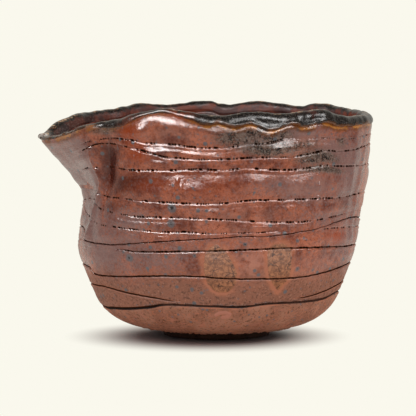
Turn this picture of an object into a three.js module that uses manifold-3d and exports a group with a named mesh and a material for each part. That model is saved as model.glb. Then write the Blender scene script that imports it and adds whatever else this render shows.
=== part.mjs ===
// Stoneware tea bowl with a drawn pouring spout: thrown true, altered by hand, then glazed.
// Millimetres, +Z up, the spout towards -X. The origin is the bottom centre of the bowl's own box.
import * as THREE from "three";
import { mergeVertices } from "three/addons/utils/BufferGeometryUtils.js";
import Module from "manifold-3d";

const wasm = await Module();
wasm.setup();

// Foot ring
const FOOT_RADIUS = 21;
const FOOT_WIDTH = 5.5; // clay across the ring
const FOOT_HEIGHT = 3.2; // table to the underside of the bowl
const FOOT_CHAMFER = 0.8; // both edges that meet the table

// Outside of the clay as it was thrown
const BOWL_HEIGHT = 87.2; // table to the rim
const UNDERSIDE_RADIUS = 41; // where the flat underside turns up
const CHINE_RADIUS = 47; // the corner where base dish and wall meet
const CHINE_RISE = 12.4; // above the underside
const BELLY_RADIUS = 52.6;
const BELLY_RISE = 15.4; // above the chine
const SHOULDER_RADIUS = 57.7;
const SHOULDER_RISE = 33; // above the belly
const RIM_RADIUS = 60;

// Thickness of the clay and of the coats on it
const WALL = 4.6; // clay at the chine
const LIP = 3; // clay at the rim
const FLOOR = 6; // clay over the foot
const JOINT_BEVEL = 2.4; // rise of the luted joint from its outside edge to its inside edge
const COAT = 0.6; // glaze outside and inside
const RIM_COAT = 0.9; // the thick glaze over the lip

// Clearances
const LUTE = 0.3; // between luted pieces of clay, and between the edges of two coats
const BOND = 0.12; // between the clay and the glaze on it

// Edges of the coats
const BAND_OUTSIDE = 4.6; // rim coat's reach below the lip, outside
const BAND_INSIDE = 6; // the same, inside

// Pouring spout, drawn out of the rim, with the wall pressed in below and beside it
const SPOUT_LENGTH = 30; // from the rim down to the root of the spout
const SPOUT_REACH = 10; // tip beyond the thrown rim
const SPOUT_FLARE = 2.5; // power by which the beak leans out towards its lip
const SPOUT_ANGLE = 15; // degrees, half-width of the beak
const NOTCH_HALF = 31; // half-width of the notch that the spout is luted into, at the rim
const NOTCH_TOE = 4.4; // notch below the root of the spout
const CHEEK_DEPTH = 3; // the beak's sides, pressed flat
const CHEEK_ANGLE = 18; // degrees from the tip
const CHEEK_SPREAD = 12; // degrees
const CREASE_DEPTH = 4.6; // dents where the beak leaves the wall
const CREASE_ROOT_ANGLE = 39; // degrees from the tip, at the root
const CREASE_RIM_ANGLE = 45; // the same, at the rim
const CREASE_SPREAD = 11; // degrees, towards the wall
const CREASE_STEEP = 4; // degrees, towards the tip, where the clay folds over
const CREASE_EDGE = 1.5; // power by which a dent opens out, lower for a sharper fold
const CREASE_TOE = 13; // dents below the root of the spout
const CREASE_TOP = 0.4; // share of the dents that is left at the rim
const FACET_DEPTH = 5.4; // flat below the spout
const FACET_LENGTH = 28; // rise of the flat below the root of the spout
const FACET_TOP_ANGLE = 34; // degrees, half-width at the root
const FACET_TOE_ANGLE = 15; // degrees, half-width at its lower end
const FACET_CORNER = 3; // power by which the flat ends at its sides

// The rim's line round the bowl: degrees from the spout's tip (front positive), rise above the thrown rim
const RIM_LINE = [
  [-158, -0.4], [-136, 1.4], [-126, 0], [-108, 1.7], [-93, 0.4], [-86, 1.9], [-70, 0.4], [-60, 1],
  [-49, -0.1], [-42, -1.1], [-33, -1.6], [-20, -2.8], [-11, -5], [-4, -8.3], [3, -9.9], [12, -9.2],
  [26, -6.5], [37, -3.7], [47, -2.1], [56, -0.3], [66, 2.2], [75, 2.4], [91, -0.1], [101, 1.6],
  [115, 0.7], [132, 1.9], [142, -0.4], [158, -1.1],
];
const RIM_DEPTH = 43; // wall below the rim that rises and sinks with it

// Lumps of the hand-worked wall: waves round the bowl, by the degrees of one crest
const WALL_LUMPS = [
  { turns: 3, height: 0.5, crest: 30, pitch: 119 }, // pitch: rise in which the wave climbs once round
  { turns: 8, height: 0.5, crest: 11, pitch: -69 },
];

// Bare ovals that two fingers left in the outer coat
const FINGER_MARKS = [
  { across: 11.6, height: 17, side: 1.2, rise: 15.2 },
  { across: 9.2, height: 15.4, side: 23.4, rise: 15.6 },
];

// Facets
const SEGMENTS = 64; // round the bowl
const CROWDING = 0.4; // how far the columns gather at the spout
const WALL_ROWS = 8; // between the two edges of the outer coat
const LIP_STEPS = 4; // over the half round of the lip
const BASE_STEPS = 4; // along the curves of the base dish
const NOTCH_STEPS = 8; // along half of the notch's toe
const MARK_STEPS = 10; // round half a finger mark
const LOOK_UP_STEPS = 20; // along each stretch of a curve that is looked up

// Heights that follow
const UNDERSIDE = FOOT_HEIGHT;
const FLOOR_TOP = UNDERSIDE + FLOOR;
const CHINE = UNDERSIDE + CHINE_RISE;
const BELLY = CHINE + BELLY_RISE;
const SHOULDER = BELLY + SHOULDER_RISE;
const RIM = BOWL_HEIGHT;
const LIP_CENTRE = RIM - LIP / 2;
const SPOUT_ROOT = RIM - SPOUT_LENGTH;
const COAT_LOW = CHINE + LUTE;
const BAND_LOW = RIM - BAND_OUTSIDE;
const BAND_LOW_INSIDE = RIM - BAND_INSIDE;

const { degToRad, radToDeg, lerp, smoothstep, clamp } = THREE.MathUtils;
const sum = (numbers) => numbers.reduce((total, number) => total + number, 0);

// A smooth curve through points, looked up by their first number
function smoothCurve(points) {
  const curve = new THREE.SplineCurve(points.map(([at, value]) => new THREE.Vector2(at, value)));
  const samples = curve.getPoints(LOOK_UP_STEPS * (points.length - 1));
  return (at) => {
    const above = samples.findIndex((sample) => sample.x >= at);
    if (above <= 0) return samples.at(above).y;
    const [low, high] = [samples[above - 1], samples[above]];
    return lerp(low.y, high.y, (at - low.x) / (high.x - low.x));
  };
}

// The thrown wall's outside radius by height, from the chine to the rim
const outsideRadius = smoothCurve([
  [CHINE, CHINE_RADIUS],
  [BELLY, BELLY_RADIUS],
  [(BELLY + SHOULDER) / 2, (BELLY_RADIUS + SHOULDER_RADIUS) / 2],
  [SHOULDER, SHOULDER_RADIUS],
  [RIM, RIM_RADIUS],
]);

// The rim's rise by degrees, with its neighbours one turn before and after
const rimRise = smoothCurve(
  [-1, 0, 1].flatMap((turn) => RIM_LINE.map(([degrees, rise]) => [degrees + 360 * turn, rise])),
);

function clayThickness(height) {
  return lerp(WALL, LIP, clamp((height - CHINE) / (LIP_CENTRE - CHINE), 0, 1));
}

// Hand alterations, by the angle from the spout's tip (front positive) and the thrown height

function lift(angle, height) {
  return smoothstep(height, RIM - RIM_DEPTH, LIP_CENTRE) * rimRise(radToDeg(angle));
}

function spoutPush(angle, height) {
  const up = clamp((height - SPOUT_ROOT) / SPOUT_LENGTH, 0, 1);
  return (SPOUT_REACH * up ** SPOUT_FLARE) / (1 + (angle / degToRad(SPOUT_ANGLE)) ** 2);
}

// How much of the dents and flat cheeks beside the spout a height has
function pressed(height) {
  const fadeIn = smoothstep(height, SPOUT_ROOT - CREASE_TOE, SPOUT_ROOT + SPOUT_LENGTH / 3);
  return fadeIn * lerp(1, CREASE_TOP, smoothstep(height, SPOUT_ROOT + SPOUT_LENGTH / 2, RIM));
}

function cheekPush(angle, height) {
  const aside = (radToDeg(Math.abs(angle)) - CHEEK_ANGLE) / CHEEK_SPREAD;
  return -CHEEK_DEPTH * pressed(height) * Math.exp(-(aside ** 2));
}

function creasePush(angle, height) {
  const up = clamp((height - SPOUT_ROOT) / SPOUT_LENGTH, 0, 1);
  const aside = radToDeg(Math.abs(angle)) - lerp(CREASE_ROOT_ANGLE, CREASE_RIM_ANGLE, up);
  const spread = aside < 0 ? CREASE_STEEP : CREASE_SPREAD;
  return -CREASE_DEPTH * pressed(height) * Math.exp(-(Math.abs(aside / spread) ** CREASE_EDGE));
}

function facetPush(angle, height) {
  const up = clamp((height - SPOUT_ROOT + FACET_LENGTH) / FACET_LENGTH, 0, 1);
  const half = degToRad(lerp(FACET_TOE_ANGLE, FACET_TOP_ANGLE, up));
  const fadeOut = 1 - smoothstep(height, SPOUT_ROOT, RIM - SPOUT_LENGTH / 6);
  const across = Math.exp(-(Math.abs(angle / half) ** FACET_CORNER));
  return -FACET_DEPTH * smoothstep(up, 0, 1) * fadeOut * across;
}

function lumpPush(angle, height) {
  const lumps = WALL_LUMPS.map((lump) => {
    const turn = lump.turns * (angle - degToRad(lump.crest)) + (2 * Math.PI * height) / lump.pitch;
    return lump.height * Math.cos(turn);
  });
  return smoothstep(height, CHINE, BELLY) * sum(lumps);
}

function alterByHand(geometry) {
  const points = geometry.getAttribute("position");
  for (let i = 0; i < points.count; i++) {
    const radius = Math.hypot(points.getX(i), points.getY(i));
    const thrown = Math.atan2(-points.getY(i), -points.getX(i));
    const height = points.getZ(i);
    const angle = thrown - CROWDING * Math.sin(thrown);
    const hands = [spoutPush, cheekPush, creasePush, facetPush, lumpPush];
    const altered = radius + sum(hands.map((push) => push(angle, height)));
    points.setXYZ(
      i,
      -altered * Math.cos(angle),
      -altered * Math.sin(angle),
      height + lift(angle, height),
    );
  }
  return geometry;
}

// Solids

// Splits the quads of a falling stretch of profile along the other diagonal, the one that a rising
// stretch uses, so that the facets of a coat lie on the facets of the clay under it.
function matchDiagonals(turned, profile) {
  const index = turned.index;
  const steps = profile.length - 1;
  const entries = 6; // two triangles for each quad
  for (let first = 0; first < index.count; first += entries) {
    const step = (first / entries) % steps;
    if (profile[step + 1].y >= profile[step].y) continue;
    const [a, b, d, c] = [0, 1, 2, 3].map((entry) => index.getX(first + entry));
    [a, b, c, c, d, a].forEach((vertex, entry) => index.setX(first + entry, vertex));
  }
}

function throwOnWheel(profile) {
  const turned = new THREE.LatheGeometry(profile, SEGMENTS).rotateX(Math.PI / 2);
  matchDiagonals(turned, profile);
  return alterByHand(turned);
}

function toSolid(geometry) {
  geometry.deleteAttribute("normal");
  geometry.deleteAttribute("uv");
  const merged = mergeVertices(geometry);
  return new wasm.Manifold(
    new wasm.Mesh({
      numProp: 3,
      vertProperties: merged.getAttribute("position").array,
      triVerts: new Uint32Array(merged.index.array),
    }),
  );
}

function toGeometry(solid) {
  const mesh = solid.getMesh();
  const geometry = new THREE.BufferGeometry();
  geometry.setAttribute("position", new THREE.BufferAttribute(mesh.vertProperties, 3));
  geometry.setIndex(new THREE.BufferAttribute(mesh.triVerts, 1));
  geometry.computeVertexNormals();
  return geometry;
}

// Rows of points up the wall. Every piece that lies on the wall uses the same rows, so facets match.

const spread = (low, high, rows) => Array.from({ length: rows + 1 }, (_, i) => lerp(low, high, i / rows));
const COAT_ROWS = spread(COAT_LOW, BAND_LOW - LUTE, WALL_ROWS);
const BAND_ROWS = [BAND_LOW, LIP_CENTRE];
const LINING_ROWS = spread(COAT_LOW, BAND_LOW_INSIDE - LUTE, WALL_ROWS).slice(1);
const BAND_ROWS_INSIDE = [BAND_LOW_INSIDE, LIP_CENTRE];

const outside = (rows, offset) =>
  rows.map((height) => new THREE.Vector2(outsideRadius(height) + offset, height));
const inside = (rows, offset) =>
  rows.map((height) => new THREE.Vector2(outsideRadius(height) - clayThickness(height) - offset, height));

// The rounded lip without its two ends, from outside to inside
function overLip(offset) {
  const centre = outsideRadius(LIP_CENTRE) - LIP / 2;
  return spread(0, Math.PI, LIP_STEPS)
    .slice(1, -1)
    .map((turn) => {
      const reach = LIP / 2 + offset;
      return new THREE.Vector2(centre + reach * Math.cos(turn), LIP_CENTRE + reach * Math.sin(turn));
    });
}

const closed = (points) => [...points, points[0].clone()];

// The top of the base dish inside the bowl, from the axis to the luted joint
function floorCurve(offset) {
  const edge = new THREE.Vector2(CHINE_RADIUS - WALL - offset, CHINE + JOINT_BEVEL + offset / 2);
  const centre = new THREE.Vector2(0, FLOOR_TOP + offset);
  const turn = new THREE.Vector2(UNDERSIDE_RADIUS - WALL - offset, FLOOR_TOP + offset);
  return new THREE.QuadraticBezierCurve(centre, turn, edge).getPoints(BASE_STEPS);
}

// The wall's lowest point inside the bowl, just above the luted joint
const wallHeel = (offset) =>
  new THREE.Vector2(CHINE_RADIUS - WALL - offset, CHINE + JOINT_BEVEL + LUTE + offset / 2);

function footRing() {
  const inner = FOOT_RADIUS - FOOT_WIDTH;
  const top = FOOT_HEIGHT - LUTE;
  const profile = [
    new THREE.Vector2(inner + FOOT_CHAMFER, 0),
    new THREE.Vector2(FOOT_RADIUS - FOOT_CHAMFER, 0),
    new THREE.Vector2(FOOT_RADIUS, FOOT_CHAMFER),
    new THREE.Vector2(FOOT_RADIUS, top),
    new THREE.Vector2(inner, top),
    new THREE.Vector2(inner, FOOT_CHAMFER),
  ];
  return throwOnWheel(closed(profile));
}

function baseDish() {
  const underside = new THREE.QuadraticBezierCurve(
    new THREE.Vector2(FOOT_RADIUS, UNDERSIDE),
    new THREE.Vector2(UNDERSIDE_RADIUS, UNDERSIDE),
    new THREE.Vector2(CHINE_RADIUS, CHINE),
  ).getPoints(BASE_STEPS);
  return throwOnWheel([new THREE.Vector2(0, UNDERSIDE), ...underside, ...floorCurve(0).reverse()]);
}

// Wall and spout before the notch is cut: one ring of clay luted onto the base dish
function clayRing() {
  const outer = outside([...COAT_ROWS, ...BAND_ROWS], 0);
  const inner = inside([...LINING_ROWS, ...BAND_ROWS_INSIDE], 0).reverse();
  return throwOnWheel(closed([...outer, ...overLip(0), ...inner, wallHeel(0)]));
}

// A block with an upright outline, from the bowl's axis forwards to well outside the wall
function extrudeFromAxis(outline, curveSegments) {
  const depth = RIM_RADIUS + 2 * SPOUT_REACH;
  const block = new THREE.ExtrudeGeometry(outline, { depth, curveSegments, bevelEnabled: false });
  return block.rotateX(Math.PI / 2);
}

// The block with a round toe that stands where the spout leaves the wall
function notchBlock(growth) {
  const half = NOTCH_HALF + growth;
  const toe = SPOUT_ROOT - NOTCH_TOE - growth;
  const top = RIM + SPOUT_LENGTH;
  const outline = new THREE.Shape();
  outline.moveTo(-half, top);
  outline.lineTo(-half, RIM);
  outline.bezierCurveTo(-half, SPOUT_ROOT, -half / 2, toe, 0, toe);
  outline.bezierCurveTo(half / 2, toe, half, SPOUT_ROOT, half, RIM);
  outline.lineTo(half, top);
  return extrudeFromAxis(outline, NOTCH_STEPS).rotateZ(-Math.PI / 2);
}

function fingerBlock({ across, height, side, rise }) {
  const outline = new THREE.Shape();
  outline.absellipse(side, CHINE + rise, across / 2, height / 2, 0, 2 * Math.PI);
  return extrudeFromAxis(outline, MARK_STEPS);
}

function outerCoat() {
  const onClay = outside(COAT_ROWS, BOND);
  const face = outside(COAT_ROWS, BOND + COAT);
  const coat = toSolid(throwOnWheel(closed([...face, ...onClay.reverse()])));
  return FINGER_MARKS.reduce((left, mark) => left.subtract(toSolid(fingerBlock(mark))), coat);
}

function innerCoat() {
  const layer = (offset) => [...floorCurve(offset), wallHeel(offset), ...inside(LINING_ROWS, offset)];
  return throwOnWheel([...layer(BOND), ...layer(BOND + COAT).reverse()]);
}

function rimCoat() {
  const layer = (offset) => [
    ...outside(BAND_ROWS, offset),
    ...overLip(offset),
    ...inside(BAND_ROWS_INSIDE, offset).reverse(),
  ];
  return throwOnWheel(closed([...layer(BOND + RIM_COAT), ...layer(BOND).reverse()]));
}

// Finishes
const finish = (color, roughness) => new THREE.MeshStandardMaterial({ color, roughness, metalness: 0 });
const bareClay = finish(0x86604c, 0.85);
const ironRedGlaze = finish(0x8a4a38, 0.25);
const liningGlaze = finish(0x7a3b28, 0.25);
const blackRimGlaze = finish(0x2b2524, 0.2);

const bowl = new THREE.Group();

function add(name, solid, material) {
  const mesh = new THREE.Mesh(toGeometry(solid), material);
  mesh.name = name;
  bowl.add(mesh);
}

const ring = toSolid(clayRing());
add("foot_ring", toSolid(footRing()), bareClay);
add("base_dish", toSolid(baseDish()), bareClay);
add("bowl_wall", ring.subtract(toSolid(notchBlock(LUTE))), bareClay);
add("spout", ring.intersect(toSolid(notchBlock(0))), bareClay);
add("outer_glaze", outerCoat(), ironRedGlaze);
add("inner_glaze", toSolid(innerCoat()), liningGlaze);
add("rim_glaze", toSolid(rimCoat()), blackRimGlaze);

// The bowl stands with the middle of its box on the origin
const box = new THREE.Box3().setFromObject(bowl);
bowl.position.set(-(box.min.x + box.max.x) / 2, -(box.min.y + box.max.y) / 2, -box.min.z);

export default bowl;
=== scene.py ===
# Stoneware tea bowl with a drawn pouring spout: thrown, altered by hand, cut with lines, and glazed.
# The form is worked out in millimetres round the bowl's axis and placed in metres.
import math

import bmesh
import bpy
import numpy as np
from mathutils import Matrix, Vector, noise


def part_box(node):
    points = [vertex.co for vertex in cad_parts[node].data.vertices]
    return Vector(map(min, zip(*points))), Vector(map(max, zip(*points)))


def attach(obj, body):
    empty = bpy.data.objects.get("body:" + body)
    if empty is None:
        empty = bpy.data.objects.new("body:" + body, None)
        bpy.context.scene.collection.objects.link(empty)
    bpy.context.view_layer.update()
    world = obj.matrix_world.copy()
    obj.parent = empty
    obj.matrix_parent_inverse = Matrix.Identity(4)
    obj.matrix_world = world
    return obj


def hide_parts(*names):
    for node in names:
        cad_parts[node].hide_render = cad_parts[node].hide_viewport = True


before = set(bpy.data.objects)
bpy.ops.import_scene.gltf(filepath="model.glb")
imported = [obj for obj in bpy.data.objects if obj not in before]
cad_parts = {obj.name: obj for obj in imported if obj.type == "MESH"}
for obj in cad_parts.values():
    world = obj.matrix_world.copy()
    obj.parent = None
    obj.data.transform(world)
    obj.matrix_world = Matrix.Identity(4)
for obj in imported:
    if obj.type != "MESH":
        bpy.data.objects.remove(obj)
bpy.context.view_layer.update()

MM = 0.001

# Form, as in the part
FOOT_RADIUS = 21
FOOT_WIDTH = 5.5
FOOT_HEIGHT = 3.2
UNDERSIDE_RADIUS = 41
CHINE_RADIUS = 47
CHINE = 15.6
BELLY_RADIUS = 52.6
BELLY = 31
SHOULDER_RADIUS = 57.7
SHOULDER = 64
RIM_RADIUS = 60
RIM = 87.2
WALL = 4.6
LIP = 3
FLOOR_TOP = 9.2
LIP_ROUND = LIP / 2
LIP_CENTRE = RIM - LIP_ROUND
SPOUT_LENGTH = 30
SPOUT_ROOT = RIM - SPOUT_LENGTH
SPOUT_REACH = 10
SPOUT_FLARE = 2.5
SPOUT_ANGLE = 15
CHEEK_DEPTH = 3
CHEEK_ANGLE = 18
CHEEK_SPREAD = 12
CREASE_DEPTH = 4.6
CREASE_ROOT_ANGLE = 39
CREASE_RIM_ANGLE = 45
CREASE_SPREAD = 11
CREASE_STEEP = 4
CREASE_EDGE = 1.5
CREASE_TOE = 13
CREASE_TOP = 0.4
FACET_DEPTH = 5.4
FACET_LENGTH = 28
FACET_TOP_ANGLE = 34
FACET_TOE_ANGLE = 15
FACET_CORNER = 3
RIM_DEPTH = 43
WALL_LUMPS = [(3, 0.5, 30, 119), (8, 0.5, 11, -69)]  # turns, height, crest, pitch

# Lines round the bowl: degrees from the spout's tip (front positive), and a rise or height
RIM_LINE = [
    (-158, -0.4), (-136, 1.4), (-126, 0), (-108, 1.7), (-93, 0.4), (-86, 1.9), (-70, 0.4), (-60, 1),
    (-49, -0.1), (-42, -1.1), (-33, -1.6), (-20, -2.8), (-11, -5), (-4, -8.3), (3, -9.9), (12, -9.2),
    (26, -6.5), (37, -3.7), (47, -2.1), (56, -0.3), (66, 2.2), (75, 2.4), (91, -0.1), (101, 1.6),
    (115, 0.7), (132, 1.9), (142, -0.4), (158, -1.1),
]
# How far the black rim coat reaches down outside
BAND_LINE = [
    (-150, 3.5), (-110, 4.2), (-70, 3.4), (-40, 2.4), (-22, 1.3), (0, 1.1), (25, 1), (35, 1.2),
    (43, 1.6), (50, 2.8), (57, 2.2), (65, 0.9), (74, 0.9), (80, 2.2), (86, 3.1), (91, 2.2), (97, 4.4),
    (102, 4.3), (109, 5.9), (117, 3.5), (123, 5.2), (129, 4.5), (138, 4.4), (147, 3.2), (158, 2.6),
    (172, 3),
]
# The joint between the wall and the base dish
JOINT_LINE = [
    (-150, 17), (-100, 15.5), (-50, 14.5), (12, 12.4), (30, 13), (43, 13.7), (57, 15.1), (67, 16.6),
    (87, 16.4), (101, 16), (115, 17), (135, 16.7), (150, 16.9), (168, 18.3),
]
# Lines cut into the wall, from the top: height by degrees, share of the full depth by degrees, and how
# much of the cut the glaze bridged
CUTS = [
    {"line": [(-160, 80.5), (-120, 78), (-75, 76.5), (-45, 80), (0, 82), (33, 81.4), (47, 81.3),
              (58, 78.8), (64, 76.4), (73, 75.6), (84, 75.7), (90, 76.5), (99, 76.3), (107, 77),
              (116, 79), (131, 77.7), (143, 79.1), (163, 80.4)],
     "depth": [(-46, 1), (-34, 0), (30, 0), (38, 1), (112, 1), (118, 0.3), (150, 0.5)], "bridged": 0.8},
    {"line": [(-165, 76.2), (-120, 72), (-75, 71.5), (-45, 78), (0, 79), (31, 79), (41, 79.9),
              (49, 78.7), (59, 75.5), (65, 73), (72, 71), (83, 71.4), (92, 72.4), (100, 71.6),
              (110, 72.1), (126, 72.4), (143, 74.5), (167, 76.3)],
     "depth": [(-44, 1), (-32, 0), (26, 0), (34, 1), (110, 1), (118, 0.5), (126, 1)], "bridged": 0.7},
    {"line": [(-160, 68), (-110, 67), (-70, 67.5), (-40, 70), (0, 72), (27, 71.6), (36, 70.5),
              (44, 69.8), (60, 67.3), (72, 66.5), (84, 68), (93, 68.2), (108, 67.7), (126, 67.4),
              (144, 68.7), (169, 68.2)],
     "depth": [(-46, 1), (-34, 0), (20, 0), (24, 0.9), (30, 0.9), (33, 0.1), (38, 1)], "bridged": 0.8},
    {"line": [(-160, 57), (-100, 56), (-60, 56.5), (-30, 59), (0, 62), (14, 62.3), (29, 60.8),
              (38, 57.8), (49, 57.1), (57, 56.3), (69, 55.4), (84, 55.4), (107, 56.5), (134, 56.2),
              (163, 56.7)],
     "depth": [(-40, 1), (-24, 0.2), (8, 0.2), (14, 0.9), (31, 0.6), (36, 1)], "bridged": 0.8},
    {"line": [(-160, 48.5), (-100, 50), (-50, 51), (-28, 53), (0, 54.5), (14, 56.5), (28, 55.2),
              (36, 52.5), (44, 51.3), (58, 50), (68, 50), (84, 49.9), (95, 49.5), (106, 48.6),
              (126, 48), (148, 49.4), (164, 50)],
     "depth": [(-40, 1), (-14, 0.6), (12, 0.9), (30, 0.9), (140, 1), (156, 0.2)], "bridged": 0.85},
    {"line": [(-160, 47), (-110, 45), (-50, 46), (-20, 48), (2, 53), (12, 49), (27, 47.4), (35, 46.2),
              (43, 45.7), (60, 44.8), (70, 44.5), (78, 44.8), (86, 44.3), (96, 44.3), (108, 44.4),
              (117, 45), (134, 46), (164, 48.8)],
     "depth": [(-170, 0), (-120, 0.8), (-20, 0.8), (104, 1), (116, 0), (170, 0)], "bridged": 0.85},
    {"line": [(-160, 44), (-110, 42), (-50, 40), (-10, 42), (9, 42.8), (21, 38.8), (38, 38.4),
              (43, 38.4), (53, 39.3), (63, 40.3), (78, 41.6), (92, 42.5), (101, 43.1), (109, 42.8),
              (117, 43.3), (124, 44.1), (134, 45), (144, 46.7), (164, 47.6)],
     "depth": [(-140, 1), (140, 1)], "bridged": 0.5},
    {"line": [(-160, 42.5), (-110, 41), (-50, 39), (-10, 41), (9, 41.8), (21, 37.8), (43, 37.4),
              (63, 39.4), (92, 41.6), (109, 41.9), (124, 43.2), (132, 44), (138, 44.7), (163, 43.8)],
     "depth": [(-178, 0.6), (-160, 0), (132, 0), (140, 0.7)], "bridged": 0.8},
    {"line": [(-160, 37), (-110, 37.5), (-50, 36), (-10, 37), (11, 38.3), (21, 36.8), (38, 36.6),
              (47, 37), (52, 36.8), (57, 36.6), (84, 37.6), (108, 38.1), (121, 38.2), (140, 37.5),
              (162, 36.5)],
     "depth": [(-150, 1), (-30, 1), (-12, 0.4), (10, 0.5), (30, 0), (43, 0), (50, 1), (165, 1)],
     "bridged": 0.55},
    {"line": [(-155, 29), (-110, 27), (-60, 26.5), (-20, 28), (20, 28.5), (25, 26.1), (41, 26.1),
              (67, 27.6), (82, 27.7), (96, 26.9), (121, 26.5), (134, 26.9), (146, 27.8), (158, 29),
              (175, 29.6)],
     "depth": [(-150, 1), (-20, 0.8), (14, 0.8), (26, 1)], "bridged": 0.4},
    {"line": [(-155, 22), (-110, 19), (-60, 18), (-20, 20), (22, 21.3), (32, 21.3), (47, 19.9),
              (60, 18.9), (71, 17.8), (100, 17.2), (128, 18), (136, 18.4), (148, 19.9), (160, 21.4),
              (178, 22.2)],
     "depth": [(-150, 1), (-20, 0.8), (12, 0.7), (30, 1), (66, 1), (74, 0), (126, 0), (134, 1)],
     "bridged": 0.2},
]

# One cut across: offset from its line, share of the groove's depth, height of its lips
CUT_SECTION = [(1, 0, 0), (0.6, 0, 0.1), (0.36, 0.3, 0.04), (0.14, 1, 0), (-0.24, 1, 0),
               (-0.46, 0.12, 0.1), (-0.86, 0, 0.3), (-1.5, 0, 0)]
CUT_DEPTH = 0.65
JOINT_SECTION = [(0.6, 0), (0.3, 0.8), (0, 1)]  # the joint's groove: height above it, share of its depth
JOINT_DEPTH = 0.4
CUT_ABOVE = CUT_SECTION[0][0]
CUT_BELOW = -CUT_SECTION[-1][0]
CUT_SPACE = 0.75  # least distance between two cuts
GAP_ROWS = [5, 4, 4, 11, 6, 5, 5, 3, 4, 10, 6, 4]  # between the cuts, from the top

COLUMNS = 600  # round the coats
FINE_COLUMNS = 400  # round the other pieces
CROWDING = 0.5  # how much closer the columns are at the front
CROWDED_AT = 80  # degrees
LOOK_UP_STEPS = 20
FAR = 99.0  # more than any distance on the wall
SEAM = 0.0001  # points closer than this are one

# Bare ovals left by two fingers: outline by degrees and height
FINGER_MARKS = [
    [(89.8, 40), (93, 37.6), (95.2, 34.5), (97.2, 31), (98.1, 28.8), (97.9, 25.3), (96.6, 22.9),
     (94.3, 21.7), (90.1, 21.7), (87.7, 23), (85.9, 25.3), (84.9, 28.9), (84.8, 32.5), (85.5, 36.2),
     (87.4, 39)],
    [(110.3, 37.6), (112.5, 39.6), (116.7, 40), (120.5, 37.3), (120.7, 31.8), (121.2, 27.4),
     (119.4, 24.6), (117.2, 21.8), (114.4, 24.2), (111.7, 27.5), (110.4, 32.2)],
]
# Blue-grey spots where the glaze boiled: degrees, height, radius
SPOTS = [
    (72.8, 53.4, 1.8), (72.1, 47.8, 1.6), (51.7, 33.9, 1.6), (73.7, 61.4, 0.7), (81.3, 60.9, 0.6),
    (65.1, 62.8, 0.9), (86, 48.8, 0.7), (98.2, 50.4, 0.8), (100.9, 40.1, 0.8), (124.1, 30, 1),
    (79.2, 22.6, 0.9), (122.8, 40.8, 0.8), (69, 35.4, 0.6), (60, 45, 0.6), (81.1, 35.8, 0.8),
]
# Lumps of thick glaze: degrees, height, half-width, half-height, rise
LUMPS = [
    (75.5, 63, 0.6, 1.4, 0.6), (76.9, 60.4, 0.6, 1.4, 0.6), (78.5, 58.4, 0.6, 1.2, 0.6),
    (74, 57, 1, 0.9, 0.7), (79.9, 56.6, 0.6, 0.6, 0.4), (46, 51.4, 1, 1.2, 0.3),
    (47.3, 48.9, 0.8, 1.2, 0.2), (131.4, 60.4, 0.8, 1.6, 0.8), (132, 56.3, 1.2, 1, 0.6),
    (105, 51, 2.6, 1.6, 0.45), (114.6, 49.4, 3, 1, 0.4), (62, 81, 3.5, 2.6, 1.6), (75, 81.8, 8, 2, 1.5),
    (83, 82.6, 5, 1.5, 1), (66, 72.4, 7, 1.6, 1.1), (67, 68.8, 8, 1.5, 0.9), (84, 72.6, 9, 1.3, 0.6),
    (114, 75, 8, 2.6, 1.5), (90, 81.6, 4, 1.6, 0.9), (98, 81.2, 4, 1.4, 0.8), (57, 76, 4, 3, 0.6),
    (80, 60, 9, 2.6, 0.5), (64, 58, 9, 2.4, 0.6), (100, 62, 8, 2.6, 0.5), (90, 51.5, 8, 1.8, 0.5),
    (60, 46.5, 9, 1.6, 0.5), (122, 62, 8, 2.4, 0.5), (108, 46.4, 8, 1.4, 0.4), (70, 41, 8, 1.2, 0.3),
]
# Clouds of colour in the red glaze: degrees, height, half-width, half-height, strength
DUSK = [
    (46, 86, 8, 3, 0.9), (97, 80.5, 9, 4, 0.8), (107, 74.6, 9, 2.4, 0.8), (111, 81, 8, 3.4, 0.7),
    (130, 71, 11, 2.4, 0.9), (134, 66.6, 11, 1.2, 0.9), (142, 78, 3, 2.4, 0.5), (122, 76, 10, 2, 0.5),
    (-100, 81, 12, 4, 0.8), (-140, 79, 10, 4, 0.7), (-72, 75, 8, 3, 0.6), (-46, 85, 8, 3, 0.8),
]
EMBER = [(58, 82, 5, 5, 1), (61, 73, 5, 4, 0.9), (77, 86, 4, 2, 1), (84, 62, 16, 4, 0.5),
         (64, 62, 8, 3, 0.5), (147, 41.5, 6, 3, 1.2), (-112, 71, 12, 5, 0.8), (-76, 61, 12, 6, 0.6),
         (-152, 60, 12, 5, 0.7), (-132, 45, 9, 4, 0.6)]
# Painted shade: deep red where shade falls in the creases beside the spout and in other dips of the wall
PAINTED_CREASE_SHADE = [
    (45, 74, 5, 6, 1.2), (43, 66, 4, 4, 1), (52, 61.5, 7, 3.4, 0.7), (60, 64.5, 10, 2, 0.5),
    (46, 54, 6, 2, 0.5), (150, 53, 5, 3, 0.4), (-45, 73, 5, 7, 1.1), (-46, 56, 6, 4, 0.6),
    (-92, 50, 14, 5, 0.5), (-140, 70, 14, 4, 0.4),
]
# Partly a pink blush in the glaze, partly painted sheen where the glaze would reflect the pale room
BLUSH_AND_SHEEN = [(104, 32, 9, 8, 1), (124, 76.5, 8, 2.4, 0.8), (130, 30, 10, 6, 0.4), (126, 61, 14, 5, 0.4),
         (98, 50, 14, 5, 0.4), (72, 80, 10, 4, 0.5)]
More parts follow.
